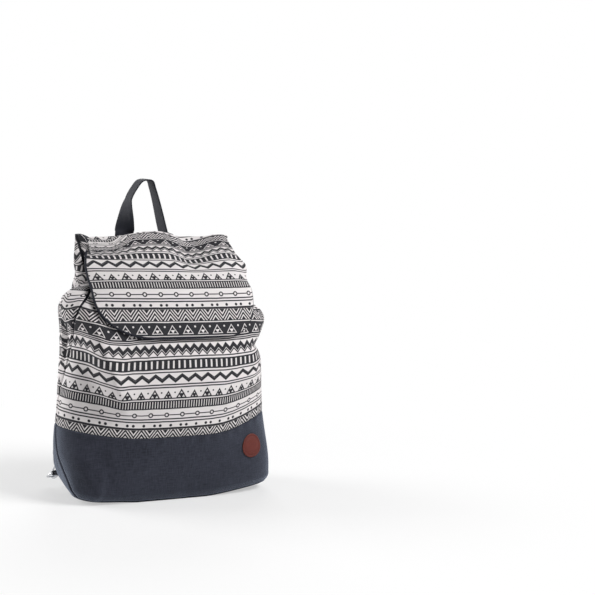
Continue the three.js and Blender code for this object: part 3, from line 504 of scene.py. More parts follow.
class Nodes:
    """Nodes of one tree, with their inputs set or linked."""

    def __init__(self, tree):
        self.tree = tree

    def link(self, value, socket):
        if isinstance(value, Value):
            self.tree.links.new(value.socket, socket)
        else:
            socket.default_value = value

    def node(self, kind, inputs, output=0, **settings):
        """Output of a new node."""
        made = self.tree.nodes.new(kind)
        for key, value in settings.items():
            setattr(made, key, value)
        for key, value in inputs.items():
            self.link(value, made.inputs[key])
        return Value(self, made.outputs[output]) if made.outputs else None

    def op(self, operation, *values, clamp=False):
        return self.node("ShaderNodeMath", dict(enumerate(values)), operation=operation, use_clamp=clamp)

    def noise(self, vector, scale, detail=2.0, roughness=0.5):
        inputs = {"Vector": vector, "Scale": scale, "Detail": detail, "Roughness": roughness}
        return self.node("ShaderNodeTexNoise", inputs, "Fac")

    def mix(self, share, first, second):
        return self.node("ShaderNodeMix", {"Factor": share, 6: first, 7: second}, 2, data_type="RGBA")

    def mix_shader(self, share, first, second):
        return self.node("ShaderNodeMixShader", {0: share, 1: first, 2: second})

    def bump(self, height, strength, depth):
        inputs = {"Strength": strength, "Distance": depth, "Height": height}
        return self.node("ShaderNodeBump", inputs, "Normal")

    def split(self, vector):
        """X and Y of a vector."""
        return [self.node("ShaderNodeSeparateXYZ", {0: vector}, axis) for axis in "XY"]

    def point(self):
        return self.node("ShaderNodeTexCoord", {}, "Object")

    def seen(self):
        """1 for what the camera sees, also by way of shine and glass, 0 for the light on things."""
        return highest(*[self.node("ShaderNodeLightPath", {}, f"Is {kind} Ray")
                         for kind in ("Camera", "Glossy", "Transmission")])


class Look(Nodes):
    """Material with a principled shader; constants go on its own sockets."""

    def __init__(self, name, **constants):
        self.material = bpy.data.materials.new(name)
        self.material.use_nodes = True
        super().__init__(self.material.node_tree)
        self.shader = self.tree.nodes["Principled BSDF"]
        for key, value in constants.items():
            self.shader.inputs[key.replace("_", " ")].default_value = value

    def cloth(self):
        """The cloth's own flat coordinates, in millimetres, and as a vector in metres."""
        uv = self.node("ShaderNodeUVMap", {}, uv_map="cloth")
        u, v = self.split(uv)
        return u * (1 / MM), v * (1 / MM), uv

    def paint(self, colour, rough, normal):
        for key, value in (("Base Color", colour), ("Roughness", rough), ("Normal", normal)):
            self.link(value, self.shader.inputs[key])
        return self.material


def ribbed(run, pitch):
    """Height of ribs a pitch apart."""
    return abs((run * (math.pi / pitch)).op("SINE"))


def weave(u, v, pitch):
    """Height of a plain weave with threads a pitch apart."""
    over, under = [(run * (math.pi / pitch)).op("SINE") for run in (u, v)]
    return abs(over * under)


def linear(*screen):
    """Colour from 0 to 255 screen values."""
    parts = np.array(screen) / 255
    return (*np.where(parts <= 0.04045, parts / 12.92, ((parts + 0.055) / 1.055) ** 2.4), 1.0)


# Stripe print: bands of simple motifs up the cloth, repeated
PRINT_REPEAT = 177.5
PRINT_START = 4.5  # height in the repeat at the seam of the band
FLAP_PRINT = 151.5  # height in the repeat at the flap's lower edge
INK_SPREAD = 0.42  # the ink runs this far past the drawn edge
CHEVRON_HALF = 0.75
CHEVRON_STEP = 3.75
CHEVRON_HEART = 6.9


class Motifs:
    """Signed distances, in millimetres, of the motifs in one repeat."""

    def __init__(self, u, w):
        self.u, self.w = u, w

    def near(self, period, centre):
        """Distance across to the nearest motif centre."""
        return (self.u - centre).op("PINGPONG", period / 2)

    def band(self, low, high):
        return abs(self.w - (low + high) / 2) - (high - low) / 2

    def line(self, centre, width):
        return self.band(centre - width / 2, centre + width / 2)

    def zigzag(self, near, period, low, high, width):
        """Band of a width along a zigzag whose peaks are at the motif centres."""
        slope = (high - low) / (period / 2)
        crest = near.times(slope, self.w - high)
        return abs(crest) * (1 / math.hypot(1, slope)) - width / 2

    def triangle(self, near, half, low, high):
        """Triangle standing on low; the point is down if high is under low."""
        tall = abs(high - low)
        norm = math.hypot(half, tall)
        up = math.copysign(1, high - low)
        slant = near.times(tall / norm, (self.w - low) * (half / norm * up)) - half * tall / norm
        return highest(slant, (self.w - low) * -up)

    def stroke(self, filled, width):
        """The inner edge of a filled motif."""
        return highest(filled, -filled - width)

    def dot(self, near, height, radius):
        return radial(near, self.w - height) - radius

    def chevrons(self, low, high, period, centre):
        """Nested zigzags that end in filled triangles at both edges."""
        away = self.zigzag(self.near(period, centre + period / 2), period, low, high, 0.0)
        second = abs(away - CHEVRON_STEP) - CHEVRON_HALF
        lines = lowest(away - CHEVRON_HALF, second, CHEVRON_HEART - away)
        return highest(lines, self.band(low, high))

    def dots(self, height, radius, period, centre, pair):
        near = self.near(period, centre)
        return lowest(self.dot(near, height, radius), self.dot(near - (period - pair) / 2, height, radius))

    def circles(self, height, radius, period, centre):
        away = radial(self.near(period, centre), self.w - height)
        ring = abs(away - radius) - 0.55
        return lowest(ring, highest(self.line(height, 0.8), radius - away))

    def bars(self, low, high, period, centre, share):
        """Upright bars, each as wide on both sides of its centre as a share of the period."""
        return highest(self.near(period, centre) - share * period, self.band(low, high))

    def tent(self, near, half, low, high, width=1.2, hung=0.52, gap=0.04):
        """Outlined triangle with a filled one hanging in its middle, by shares of its height."""
        tall = high - low
        outline = self.stroke(self.triangle(near, half, low, high), width)
        return lowest(outline, self.triangle(near, hung * half, low + hung * tall, low + gap * tall))

    def tents(self, low, period, centre):
        big = self.tent(self.near(period, centre), 8.4, low, low + 13.6)
        small = self.tent(self.near(period, centre + period / 2), 6.6, low, low + 11.4)
        return lowest(big, small, self.dot(self.near(period / 2, centre + period / 4), low + 9.0, 0.9))

    def dark_band(self, low, high, period, centre):
        """Dark ground that leaves pale outlined triangles and dots."""
        tall = high - low
        foot, top = low + 0.10 * tall, high - 0.12 * tall
        tent = self.tent(self.near(period, centre), 9.6, foot, top, 1.9, 0.46, 0.06)
        spot = self.dot(self.near(period, centre + period / 2), high - 0.3 * tall, 1.9)
        return highest(self.band(low, high), -lowest(tent, spot))

    def all(self):
        """The whole repeat from its foot up: heights, widths, periods and centres."""
        thick = self.near(13.5, -4.3)
        big = self.near(20.9, 1.4)
        return lowest(
            self.chevrons(0.0, 16.5, 24.3, 3.7),
            self.line(18.7, 2.6),
            self.dots(23.6, 1.8, 41.1, -12.9, 8.7),
            self.line(29.3, 1.2), self.line(33.6, 1.2),
            self.circles(40.0, 2.8, 24.6, 4.5),
            self.line(50.0, 1.2), self.bars(50.0, 62.0, 4.1, 0.0, 0.26), self.line(62.0, 1.0),
            self.line(65.6, 1.0),
            self.tents(65.6, 41.9, 1.1),
            self.line(82.6, 1.2), self.line(86.6, 1.2),
            self.zigzag(big, 20.9, 91.4, 99.4, 2.7),
            self.zigzag(big, 20.9, 94.6, 102.2, 0.9),
            self.line(105.2, 1.1),
            self.line(109.8, 1.6), self.bars(109.0, 124.2, 8.75, 1.4, 0.295), self.line(123.4, 1.6),
            self.line(128.2, 1.1),
            self.zigzag(thick, 13.5, 130.6, 137.6, 1.0),
            self.zigzag(thick, 13.5, 136.6, 144.0, 4.3),
            self.line(149.8, 1.1), self.line(152.6, 1.0),
            self.dark_band(155.0, 174.2, 24.1, -7.2),
            self.line(177.0, 0.9))


# Materials
def print_material():
    """Cream canvas with the stripe print."""
    look = Look("print_canvas", Sheen_Weight=0.05, Sheen_Roughness=0.5, Specular_IOR_Level=0.25)
    u, v, uv = look.cloth()
    wander = look.noise(uv, 60.0, 1.0).times(1.2, u - 0.6)
    height = look.noise(uv, 45.0, 1.0).times(0.9, v - 0.45).op("FLOORED_MODULO", PRINT_REPEAT)
    ink = (Motifs(wander, height).all() - INK_SPREAD).fill(0.5)
    grain = look.noise(uv, 900.0)
    pale = look.mix(look.noise(uv, 30.0), linear(233, 228, 228), linear(222, 217, 217))
    colour = look.mix(ink * grain.times(0.10, 0.93, clamp=True), pale, linear(22, 23, 30))
    threads = grain.times(0.5, weave(u, v, 0.9))
    return look.paint(colour, grain.times(0.1, 0.8), look.bump(threads, 0.25, 0.0004))


def grey_material():
    """Dark grey canvas of mixed dark and pale yarns."""
    look = Look("grey_canvas", Sheen_Weight=0.6, Sheen_Roughness=0.5, Specular_IOR_Level=0.15,
                Sheen_Tint=linear(205, 218, 240))
    u, v, uv = look.cloth()
    drawn_out = [look.node("ShaderNodeMapping", {"Vector": uv, "Scale": scale})
                 for scale in ((0.1, 1.0, 1.0), (1.0, 0.1, 1.0))]
    across, upright = [look.noise(vector, 700.0, 3.0, 0.7) for vector in drawn_out]
    fleck = (across + upright) * 0.5
    cloud = look.noise(uv, 18.0, 3.0).times(0.5, 0.26)
    tone = (fleck - 0.5).times(3.4, cloud, clamp=True)
    colour = look.mix(tone, linear(22, 23, 30), linear(54, 55, 67))
    threads = fleck.times(0.7, weave(u, v, 0.8))
    return look.paint(colour, fleck.times(0.15, 0.78), look.bump(threads, 0.35, 0.0005))


def lining_material():
    """Plain dark lining cloth."""
    look = Look("lining")
    u, v, uv = look.cloth()
    grain = look.noise(uv, 500.0)
    colour = look.mix(grain, linear(48, 49, 53), linear(66, 67, 71))
    return look.paint(colour, grain.times(0.15, 0.6), look.bump(weave(u, v, 0.5), 0.2, 0.0003))


def webbing_material(name, rib):
    """Black webbing with ribs across and small herringbone steps along."""
    look = Look(name, Specular_IOR_Level=0.2)
    u, v, uv = look.cloth()
    ribs = ribbed(u.op("PINGPONG", 4.0).times(0.8, v), rib)
    grain = look.noise(uv, 800.0)
    colour = look.mix(ribs.times(0.5, grain * 0.5), linear(15, 16, 22), linear(36, 38, 48))
    return look.paint(colour, grain.times(0.2, 0.55), look.bump(grain.times(0.3, ribs), 0.5, 0.0006))


def leather_material():
    """Reddish brown leather with a pressed ring, paler along its cut edge."""
    look = Look("patch_leather", Specular_IOR_Level=0.2)
    u, v, uv = look.cloth()
    away = radial(u, v)
    cells = look.node("ShaderNodeTexVoronoi", {"Scale": 1100.0, "Vector": uv}, "Distance",
                      feature="DISTANCE_TO_EDGE")
    cloud = look.noise(uv, 160.0, 4.0, 0.6)
    edge = (away - 17.6).times(1.2, 0.0, clamp=True)
    groove = (abs(away - 15.4) - 0.45).fill(0.5)
    hide = look.mix(cloud, linear(84, 36, 31), linear(108, 52, 45))
    shaded = look.mix(groove * 0.5, hide, linear(62, 25, 21))
    height = groove.times(-2.0, cloud.times(0.6, (cells * 4.0).op("MINIMUM", 1.0)))
    return look.paint(look.mix(edge, shaded, linear(146, 92, 72)), cloud.times(0.25, 0.45),
                      look.bump(height, 0.3, 0.0004))


def metal_material():
    """Bright plated metal with faint wear."""
    look = Look("nickel", Metallic=1.0)
    point = look.point()
    cloud = look.noise(point, 180.0, 4.0, 0.6)
    colour = look.mix(cloud, linear(186, 188, 192), linear(214, 215, 218))
    return look.paint(colour, cloud.times(0.14, 0.16), look.bump(look.noise(point, 900.0), 0.05, 0.0002))


def zip_material():
    """Black nylon: fine cross ribs that read as tape and as coil."""
    look = Look("zip_nylon")
    point = look.point()
    ribs = ribbed(look.split(point)[0], 1.5 * MM)
    colour = look.mix(ribs, linear(16, 17, 20), linear(38, 39, 44))
    return look.paint(colour, look.noise(point, 900.0).times(0.2, 0.45), look.bump(ribs, 0.6, 0.0005))


PRINT = print_material()
GREY = grey_material()
LINING = lining_material()
STRAP_BLACK = webbing_material("webbing", 1.6)
BINDING_BLACK = webbing_material("binding_tape", 0.9)
LEATHER = leather_material()
NICKEL = metal_material()
NYLON = zip_material()


# Folds that the hanging cloth makes, as heights off the plain skin
def ripple(a, b, size):
    """Soft unevenness, about 1 either way."""
    return (np.sin(a / size + 0.6 * np.sin(b / (1.7 * size)))
            * np.cos(b / (1.3 * size) + 0.8 * np.sin(a / (1.9 * size) + 1.0)))


def beside_line(x, z, start, end, fade):
    """Distance off a line in the front view, and 1 along it, which fades at its ends."""
    run = np.subtract(end, start)
    length = math.hypot(*run)
    along = ((x - start[0]) * run[0] + (z - start[1]) * run[1]) / length
    off = ((x - start[0]) * run[1] - (z - start[1]) * run[0]) / length
    return off, smooth(along, -fade, fade) * (1 - smooth(along, length - fade, length + fade))


def ridge(x, z, height, start, end, half, fade):
    """Soft ridge along a line, or a valley if the height is below 0."""
    off, beside = beside_line(x, z, start, end, fade)
    return height * bell(off / half) * beside


def bent_edge(x, z):
    """Sharp fold that runs down from the left of the flap, with slopes on both sides."""
    height, start, end, half, fade = BENT_EDGE
    off, beside = beside_line(x, z, start, end, fade)
    return height * np.exp(0.25 - 1.6 * np.sqrt((off / half) ** 2 + 0.024)) * beside


def body_folds(points, turn, z):
    """Folds of the hanging body: soft dents, puckers at the band's seam and the folds of the front."""
    x, y, height = points[..., 0], points[..., 1], points[..., 2]
    ahead = np.cos(turn) > 0
    even = 0.8 * ripple(x + y, height, 34.0) + 0.4 * ripple(x - y, height + 40, 15.0)
    pucker = PUCKER * np.sin((x + 0.5 * y) / 3.6) * bell((z - BAND_HEIGHT) / 9)
    seam = BAND_GROOVE * bell((z - BAND_HEIGHT) / 1.8)
    even = even * np.where(ahead, 1, RIPPLE_BEHIND) * smooth(z, 0, 30)
    folds = bent_edge(x, height) + sum(ridge(x, height, *fold) for fold in FRONT_FOLDS)
    return even + pucker - seam + np.where(ahead, folds, 0)


def corner_shift(moves, x, z):
    """How far the listed moves of the base's corners shift a place."""
    return sum(far * smooth(side * x, *across) * (1 - smooth(z, *up)) for far, side, across, up in moves)


def settle(points, z):
    """The cloth drawn in, pushed out, lowered or pulled up at the corners of the base and the mouth."""
    x, ahead = points[..., 0], smooth(-points[..., 1], -25, 25)
    pinched = RIGHT_PINCH * smooth(x, 105, 158) * bell((z - RIGHT_PINCH_HEIGHT) / 20)
    high = BAND_RIGHT_HIGH * smooth(x, 70, 165) * smooth(z, 30, 95) * (1 - smooth(z, 100, 235))
    mouth = smooth(z, MOUTH_CORNER_START, BODY_HEIGHT)
    pulled = smooth(-x, 92, 128) * mouth
    sunk = smooth(x, 84, 128) * mouth * (1 - smooth(points[..., 1], 34, 42))
    moved = points.copy()
    moved[..., 0] += ahead * (corner_shift(FRONT_ASIDE, x, z) - pinched) + MOUTH_LEFT_IN * pulled
    moved[..., 0] += (1 - ahead) * corner_shift(BACK_ASIDE, x, z) - MOUTH_RIGHT_IN * sunk
    moved[..., 2] += high - ahead * corner_shift(FRONT_DOWN, x, z)
    moved[..., 2] += MOUTH_LEFT_UP * pulled - MOUTH_RIGHT_DOWN * sunk
    return moved


def body_surface(turn, z, lift):
    """Points of the folded and settled body, lifted off its skin."""
    plain = skin(turn, z)
    lift = lift + body_folds(plain, turn, z)
    return settle(plain + skin_out(turn, z) * lift[:, None], z)


# Panels of the body
def swallowed(x, z):
    """Cloth that the folds up the right side take in, so the print's rows level out there."""
    return RIGHT_SWALLOWED * smooth(x, 45, 160) * smooth(z, BAND_HEIGHT + 15, BAND_HEIGHT + 145)


def side_height(z):
    """Height that a row of the front panel reaches at the sides, where its top edge rises to the corners."""
    share = np.clip((z - SIDE_RISE_START) / (MOUTH_HEIGHT - SIDE_RISE_START), 0, 1)
    return z + (BODY_HEIGHT - MOUTH_HEIGHT) * share


def row_height(turn, z):
    """Height of a row of points, which slopes along with the tucks."""
    under = smooth(z, BAND_HEIGHT + 60, TUCK_MIDDLE - TUCK_HALF)
    over = smooth(z, TUCK_MIDDLE + TUCK_HALF, MOUTH_HEIGHT)
    plain = skin(turn, z)
    slope = ROW_SLOPE_LEFT + (ROW_SLOPE_RIGHT - ROW_SLOPE_LEFT) * smooth(plain[..., 0], -80, 80)
    return z - slope * np.clip(plain[..., 1], -ROW_REACH, ROW_REACH) * under * (1 - over)


def front_edges(z):
    """Turns at which a row of the front starts and ends."""
    end = math.radians(section("split", z)) - SEAM_TURN
    return -end, end


def print_edges(z):
    return front_edges(float(side_height(z)))


def back_edges(z):
    start = math.radians(section("split", z)) + SEAM_TURN
    return start, 2 * math.pi - start


def body_panel(name, edges, heights, cloth, slot, shift, rising=False):
    """Cloth panel of the body; its flat coordinates run from the panel's middle and its lower edge."""
    outer, flat = [], []
    for z in heights:
        start, stop = edges(z)
        fine = np.linspace(start, stop, FINE_POINTS)
        run = run_along(skin(fine, z))
        inside = np.linspace(SEAM_SIDE, run[-1] - SEAM_SIDE, PANEL_COLUMNS)
        across = np.concatenate([SEAM_STEPS, inside, run[-1] - SEAM_STEPS[::-1]])
        turn = np.interp(across, run, fine)
        level = row_height(turn, z)
        if rising:
            level = level + (side_height(z) - z) * smooth(np.abs(skin(turn, level)[..., 0]), 114, 131)
        groove = SEAM_GROOVE * bell(np.minimum(across, run[-1] - across) / SEAM_HALF)
        outer.append(body_surface(turn, level, -groove))
        flat.append(across - np.interp(0.0 if start < 0 else np.pi, fine, run))
    outer = np.array(outer)
    inner = outer - CLOTH * grid_normals(outer)
    up = run_along(outer) + shift + swallowed(outer[..., 0], outer[..., 2])
    uv = np.stack([np.array(flat), up], -1)
    # the black tape's material on the columns beside each seam is painted shade in the seam groove
    panel = shell(name, outer, inner, uv, [cloth, LINING, BINDING_BLACK], SEAM_SHADE_COLUMNS)
    dress(panel, slot, f"{name}_panel")


def build_body():
    print_rows = np.linspace(BAND_HEIGHT, MOUTH_HEIGHT, 130)
    back_rows = np.linspace(BAND_HEIGHT, BODY_HEIGHT, 140)
    band_rows = np.concatenate([np.linspace(CLOTH + SEAM, BASE_BEND, 10)[:-1],
                                np.linspace(BASE_BEND, BAND_HEIGHT - SEAM, 36)])
    body_panel("front_print", print_edges, print_rows, PRINT, "print_canvas", PRINT_START, rising=True)
    body_panel("back_print", back_edges, back_rows, PRINT, "print_canvas", PRINT_START)
    body_panel("front_band", front_edges, band_rows, GREY, "grey_canvas", 0.0)
    body_panel("back_band", back_edges, band_rows, GREY, "grey_canvas", 0.0)


def build_base():
    """Base panel: flat in its middle and lifted at both ends."""
    under = skin(full_turn(160), 0.0)[None] * np.linspace(0.02, 1, 24)[:, None, None]
    under[..., 2] = sag_rise(under[..., 0], 0.0)
    under = settle(under, 0.0)
    top = under[::-1].copy()
    top[..., 2] += CLOTH
    rings = np.concatenate([under, top])
    dress(loft("base", rings, rings[..., :2], GREY), "grey_canvas", "base_panel")


# Flap: its middle line runs from the back's top edge over the mouth and down the front
BACK_TOP = float(section("back", BODY_HEIGHT)) - CLOTH / 2
FLAP_REACH = float(section("front", BODY_HEIGHT - SHOULDER_DROP)) + BACK_TOP
FLAP_TOP = [(0.06, 5.5), (0.20, 3.5), (0.32, -8), (0.43, -19), (0.58, -29), (0.76, -48), (0.95, -70)]


def body_front(z):
    return -float(section("front", z)) - FLAP_LIFT - FLAP_CLOTH / 2


FLAP_LINE = smooth_line(
    [(0, BACK_TOP, BODY_HEIGHT + 2 * SEAM)]
    + [(0, BACK_TOP - share * FLAP_REACH, BODY_HEIGHT + rise) for share, rise in FLAP_TOP]
    + [(0, body_front(FLAP_BEND) - 2, FLAP_BEND), (0, body_front(FLAP_FOOT), FLAP_FOOT)], 600)
FLAP_RUN = run_along(FLAP_LINE)
FLAP_LENGTH = FLAP_RUN[-1]
FLAP_STRAIGHT = FLAP_LENGTH - FLAP_CORNER_TALL  # the sides are straight to here, then the corners start


def along_flap(length, start, end):
    """Smooth step between two shares of the flap's length."""
    return smooth(length, start * FLAP_LENGTH, end * FLAP_LENGTH)


def flap_sheet(x, length):
    """Point of the flap's middle layer, by the distance across and the length from its back edge."""
    x, length = np.broadcast_arrays(np.asarray(x, float), np.asarray(length, float))
    held = np.clip(length, 0, FLAP_LENGTH)
    y = np.interp(held, FLAP_RUN, FLAP_LINE[:, 1])
    z = np.interp(held, FLAP_RUN, FLAP_LINE[:, 2]) - (length - held)
    front, back = along_flap(length, 0.2, 0.62), 1 - along_flap(length, 0, 0.25)
    low = np.minimum(z, FLAP_ROUND_TOP)
    front_round = FLAP_HUG * (face_y("front", x, low) - face_y("front", 0.0, low))
    back_round = face_y("back", x, BODY_HEIGHT) - face_y("back", 0.0, BODY_HEIGHT)
    risen = smooth(length, 2, 16)
    dent = DENT_DEPTH * dented(x, length) * risen * (1 - smooth(length, 52, 112))
    crest = sum(rise * bell((x - middle) / half) for rise, middle, half in CRESTS)
    top = risen * crest * (1 - along_flap(length, 0.1, 0.34)) - dent
    fall = FLAP_SIDE_FALL * (2 * x / FLAP_WIDTH) ** 2 * (1 - front) * (1 - back)
    fall += EDGE_FALL * smooth(x, 100, 130) * smooth(length, 5, 40) * (1 - along_flap(length, 0.4, 0.7))
    fall += LEFT_FALL * smooth(-x, 30, 85) * risen * (1 - smooth(length, 35, 75))
    inside = flap_half(length, 1) - x
    curl = EDGE_CURL * (1 - smooth(inside, 0, 9)) * smooth(length, 95, 130)
    curl = curl * (1 - smooth(length, FLAP_STRAIGHT, FLAP_LENGTH - 15))
    past = np.maximum(EDGE_ROLL - inside, 0)
    tight = np.maximum(smooth(length, 10, 30) * (1 - smooth(length, 95, 150)), 1e-3)
    tight = tight * EDGE_ROLL_TURN / EDGE_ROLL
    rolled = np.sin(past * tight) / tight - past
    behind = (1 - np.cos(past * tight)) / tight
    skew = FLAP_SKEW * length / FLAP_LENGTH
    resting = bent_edge(x + skew, z) * along_flap(length, 0.4, 0.6)
    y = y + front * front_round + back * back_round + curl + behind - resting
    return np.stack([x + skew + rolled, y, z - fall + top], -1)


def dented(x, length):
    """1 along the middle of the dent right of the handle, 0 off it; the dent runs aside on its way down."""
    off = x - DENT_X + DENT_ASIDE * smooth(length, 20, 64)
    return bell(off / np.where(off < 0, DENT_HALF, DENT_WIDER * DENT_HALF))


def corner_wide(sign):
    return FLAP_CORNER_WIDE - sign * FLAP_CORNER_UNEVEN


def flap_half(length, sign):
    """Width from the flap's middle to one side."""
    past = np.maximum(length - FLAP_STRAIGHT, 0) / FLAP_CORNER_TALL
    taper = FLAP_BACK_IN * (1 - along_flap(length, 0, 0.45))
    fuller = EDGE_FULLER * bell((length - 66) / 36) if sign > 0 else 0
    cut = corner_wide(sign) * (1 - np.sqrt(np.maximum(1 - past * past, 0)))
    return FLAP_WIDTH / 2 - taper + fuller - cut


def gathered(x, length):
    """Share of the cloth's length that lies in fine gathers, most just above the flap's bend."""
    top = smooth(length, 5, 45) * (1 - along_flap(length, 0.22, 0.3))
    return GATHER * top * (1 + GATHER_LEFT * smooth(-x, 40, 85))


def flap_folds(x, length):
    """Sharp crumples across the top of the flap and slight waves down its front."""
    phase = length / 6.6 + 0.7 * np.sin(x / 29.0) + 0.4 * np.sin(x / 11.0 + 1.0) + x / 85.0
    strong = 0.65 + 0.35 * np.sin(x / 37.0 + 0.4)
    waves = FOLD_HEIGHT * strong * (0.6 - np.abs(np.sin(phase)))
    waves = waves * (1 - 0.85 * bell((x - DENT_X + 8) / (1.5 * DENT_HALF))) * (1 - 0.6 * smooth(-x, 35, 75))
    small = 0.4 * ripple(x + 0.5 * length, 2.0 * length, 8.0)
    line = -2.0 * bell((length - 0.335 * FLAP_LENGTH - 0.02 * x) / 2.6) * (1 - smooth(x, 0, 30))
    crumpled = smooth(length, 5, 18) * (1 - along_flap(length, 0.17, 0.27))
    return crumpled * (waves + small) + line + 0.6 * ripple(x, length, 38.0) * smooth(length, 5, 60)


def build_flap():
    lengths = np.concatenate([np.linspace(0, FLAP_STRAIGHT, 150)[:-1],
                              FLAP_LENGTH - FLAP_CORNER_TALL * (1 - np.sin(np.linspace(0, np.pi / 2, 40)))])
    shares = np.linspace(0, 1, 150)[None]
    left, right = flap_half(lengths, -1)[:, None], flap_half(lengths, 1)[:, None]
    x = shares * right - (1 - shares) * left
    length = np.broadcast_to(lengths[:, None], x.shape)
    middle = flap_sheet(x, length)
    middle = middle - grid_normals(middle) * flap_folds(x, length)[..., None]
    half = -grid_normals(middle) * FLAP_CLOTH / 2
    drop = np.diff(length[::-1], axis=0)
    steps = np.linalg.norm(np.diff(middle[::-1], axis=0), axis=-1)
    cornered = length[::-1][1:] > FLAP_STRAIGHT
    steps = np.where(cornered, -drop, steps) * (1 + gathered(x[::-1][1:], length[::-1][1:]))
    up = np.concatenate([np.zeros_like(x[:1]), np.cumsum(steps, axis=0)])[::-1]
    drawn = DENT_PRINT * dented(x, length) * (1 - smooth(length, 62, 108)) + FLAP_TILT * (x - FLAP_TILT_X)
    uv = np.stack([x + FLAP_PRINT_ASIDE, up + drawn + FLAP_PRINT], -1)
    outer, inner = middle + half, middle - half
    flap = shell("flap_cloth", outer[:, ::-1], inner[:, ::-1], uv[:, ::-1], [PRINT, LINING])
    dress(flap, "print_canvas", "flap")
    widths = (left + right)[:, 0]
    cut = np.sum((widths[1:] + widths[:-1]) / 2 * np.diff(lengths))


def flap_side(sign):
    """Places along one side of the flap and round its corner, just off the cloth."""
    wide = corner_wide(sign)
    straight = [(sign * (float(flap_half(a, sign)) + BINDING_OFF), a)
                for a in np.linspace(1, FLAP_STRAIGHT, 90)]
    corner = [(sign * (FLAP_WIDTH / 2 - wide + (wide + BINDING_OFF) * math.cos(a)),
               FLAP_STRAIGHT + (FLAP_CORNER_TALL + BINDING_OFF) * math.sin(a))
              for a in np.linspace(0, np.pi / 2, 50)[1:]]
    return straight + corner


def build_binding():
    """Tape folded over the flap's free edge."""
    foot = np.linspace(-flap_half(FLAP_LENGTH, -1), flap_half(FLAP_LENGTH, 1), 40)[1:-1]
    edge = np.array(flap_side(-1) + [(x, FLAP_LENGTH + BINDING_OFF) for x in foot] + flap_side(1)[::-1])
    x, length = edge[:, 0], edge[:, 1]
    step = 0.5
    across = flap_sheet(x + step, length) - flap_sheet(x - step, length)
    down = flap_sheet(x, length - step) - flap_sheet(x, length - 3 * step)
    normal = unit(np.cross(down, across))
    middle = flap_sheet(x, length) + normal * flap_folds(x, np.minimum(length, FLAP_LENGTH))[:, None]
    along = tangents(middle)
    aside = unit(np.cross(along, normal))
    slim = (1 - BINDING_SLIM * smooth(x, 40, 100))[:, None, None]
    rings = oval_rings(middle, aside, np.cross(aside, along), slim * BINDING_WIDE, slim * BINDING_THICK)
    uv = strip_uv(BINDING_WIDE * np.cos(full_turn(ROUND_SIDES)), run_along(middle))
    dress(loft("binding", rings, uv, BINDING_BLACK), "webbing", "flap_binding")


# Grab handle: the left leg stands nearly straight up and the right one leans in
def handle_turn(rise, left):
    """How far each leg has turned edge on."""
    taper = np.arccos(1 - np.clip((rise - HANDLE_BARE) / (HANDLE_TURNED - HANDLE_BARE), 0, 1))
    early = HANDLE_RIGHT_TURN * smooth(rise, 0, HANDLE_RIGHT_END)
    late = (np.pi / 2 - HANDLE_RIGHT_TURN) * smooth(rise, HANDLE_RIGHT_END, 1)
    return np.where(left, taper, -early - late)


def handle_leg(sign):
    inner = HANDLE_SPAN / 2 - WEBBING_WIDTH / 2 + HANDLE_LEAN
    y = float(face_y("back", inner, BODY_HEIGHT - HANDLE_SEWN)) + SEAM + WEBBING / 2
    line = [(0, -HANDLE_SEWN), (0, 0)]
    line += [(HANDLE_SPAN * i, HANDLE_RISE * s) for i, s in zip(HANDLE_INWARD[sign], HANDLE_SHARES)]
    return [(HANDLE_LEAN + sign * (HANDLE_SPAN / 2 - inward), y, BODY_HEIGHT + rise)
            for inward, rise in line]


def build_handle():
    at = smooth_line(handle_leg(-1) + handle_leg(1)[::-1], 150)
    along = tangents(at)
    turn = handle_turn((at[:, 2] - BODY_HEIGHT) / HANDLE_RISE, np.arange(len(at)) < len(at) / 2)[:, None]
    back = np.array([0.0, 1.0, 0.0])
    wide = unit(np.cross(along, back)) * np.cos(turn) + back * np.sin(turn)
    handle = ribbon("handle", at, wide, np.cross(along, wide), WEBBING_WIDTH, WEBBING)
    dress(handle, "webbing", "grab_handle")


def build_patch():
    """Round leather patch on the band, measured along the settled cloth."""
    def settled(turn, z):
        return settle(skin(turn, z), z)

    fine = np.linspace(0, np.pi / 2, 4000)
    turn0 = float(np.interp(PATCH_X, settled(fine, PATCH_HEIGHT)[:, 0], fine))
    step = 1e-3
    aside = settled(turn0 + step, PATCH_HEIGHT) - settled(turn0 - step, PATCH_HEIGHT)
    upward = settled(turn0, PATCH_HEIGHT + 1) - settled(turn0, PATCH_HEIGHT - 1)
    pace, climb = np.linalg.norm(aside) / (2 * step), np.linalg.norm(upward) / 2
    circle = full_turn(72)
    rings, uv = [], []
    for share, rise in PATCH_PROFILE[::-1]:
        across, up = share * PATCH / 2 * np.cos(circle), share * PATCH / 2 * np.sin(circle)
        lift = SEAM + rise * PATCH_THICK
        rings.append(body_surface(turn0 + across / pace, PATCH_HEIGHT + up / climb, lift))
        uv.append(np.stack([across, up], -1))
    dress(loft("patch", np.array(rings), np.array(uv), LEATHER), "leather", "leather_patch")


# Rings, tabs and straps, placed by the joints of the frame
def joint_place(name):
    joint = JOINTS[name]
    return np.array(joint["pos_m"]) / MM, unit(joint["axis"])


def laid(origin, flat, first, second):
    """Points of a flat outline laid along two directions."""
    flat = np.array(flat)
    return origin + flat[:, :1] * first + flat[:, 1:] * second


def eye_loop(radius, start, end):
    """Arc of webbing round a bar, between two angles in degrees."""
    return [(radius * math.cos(a), radius * math.sin(a)) for a in np.radians(np.linspace(start, end, 25))]


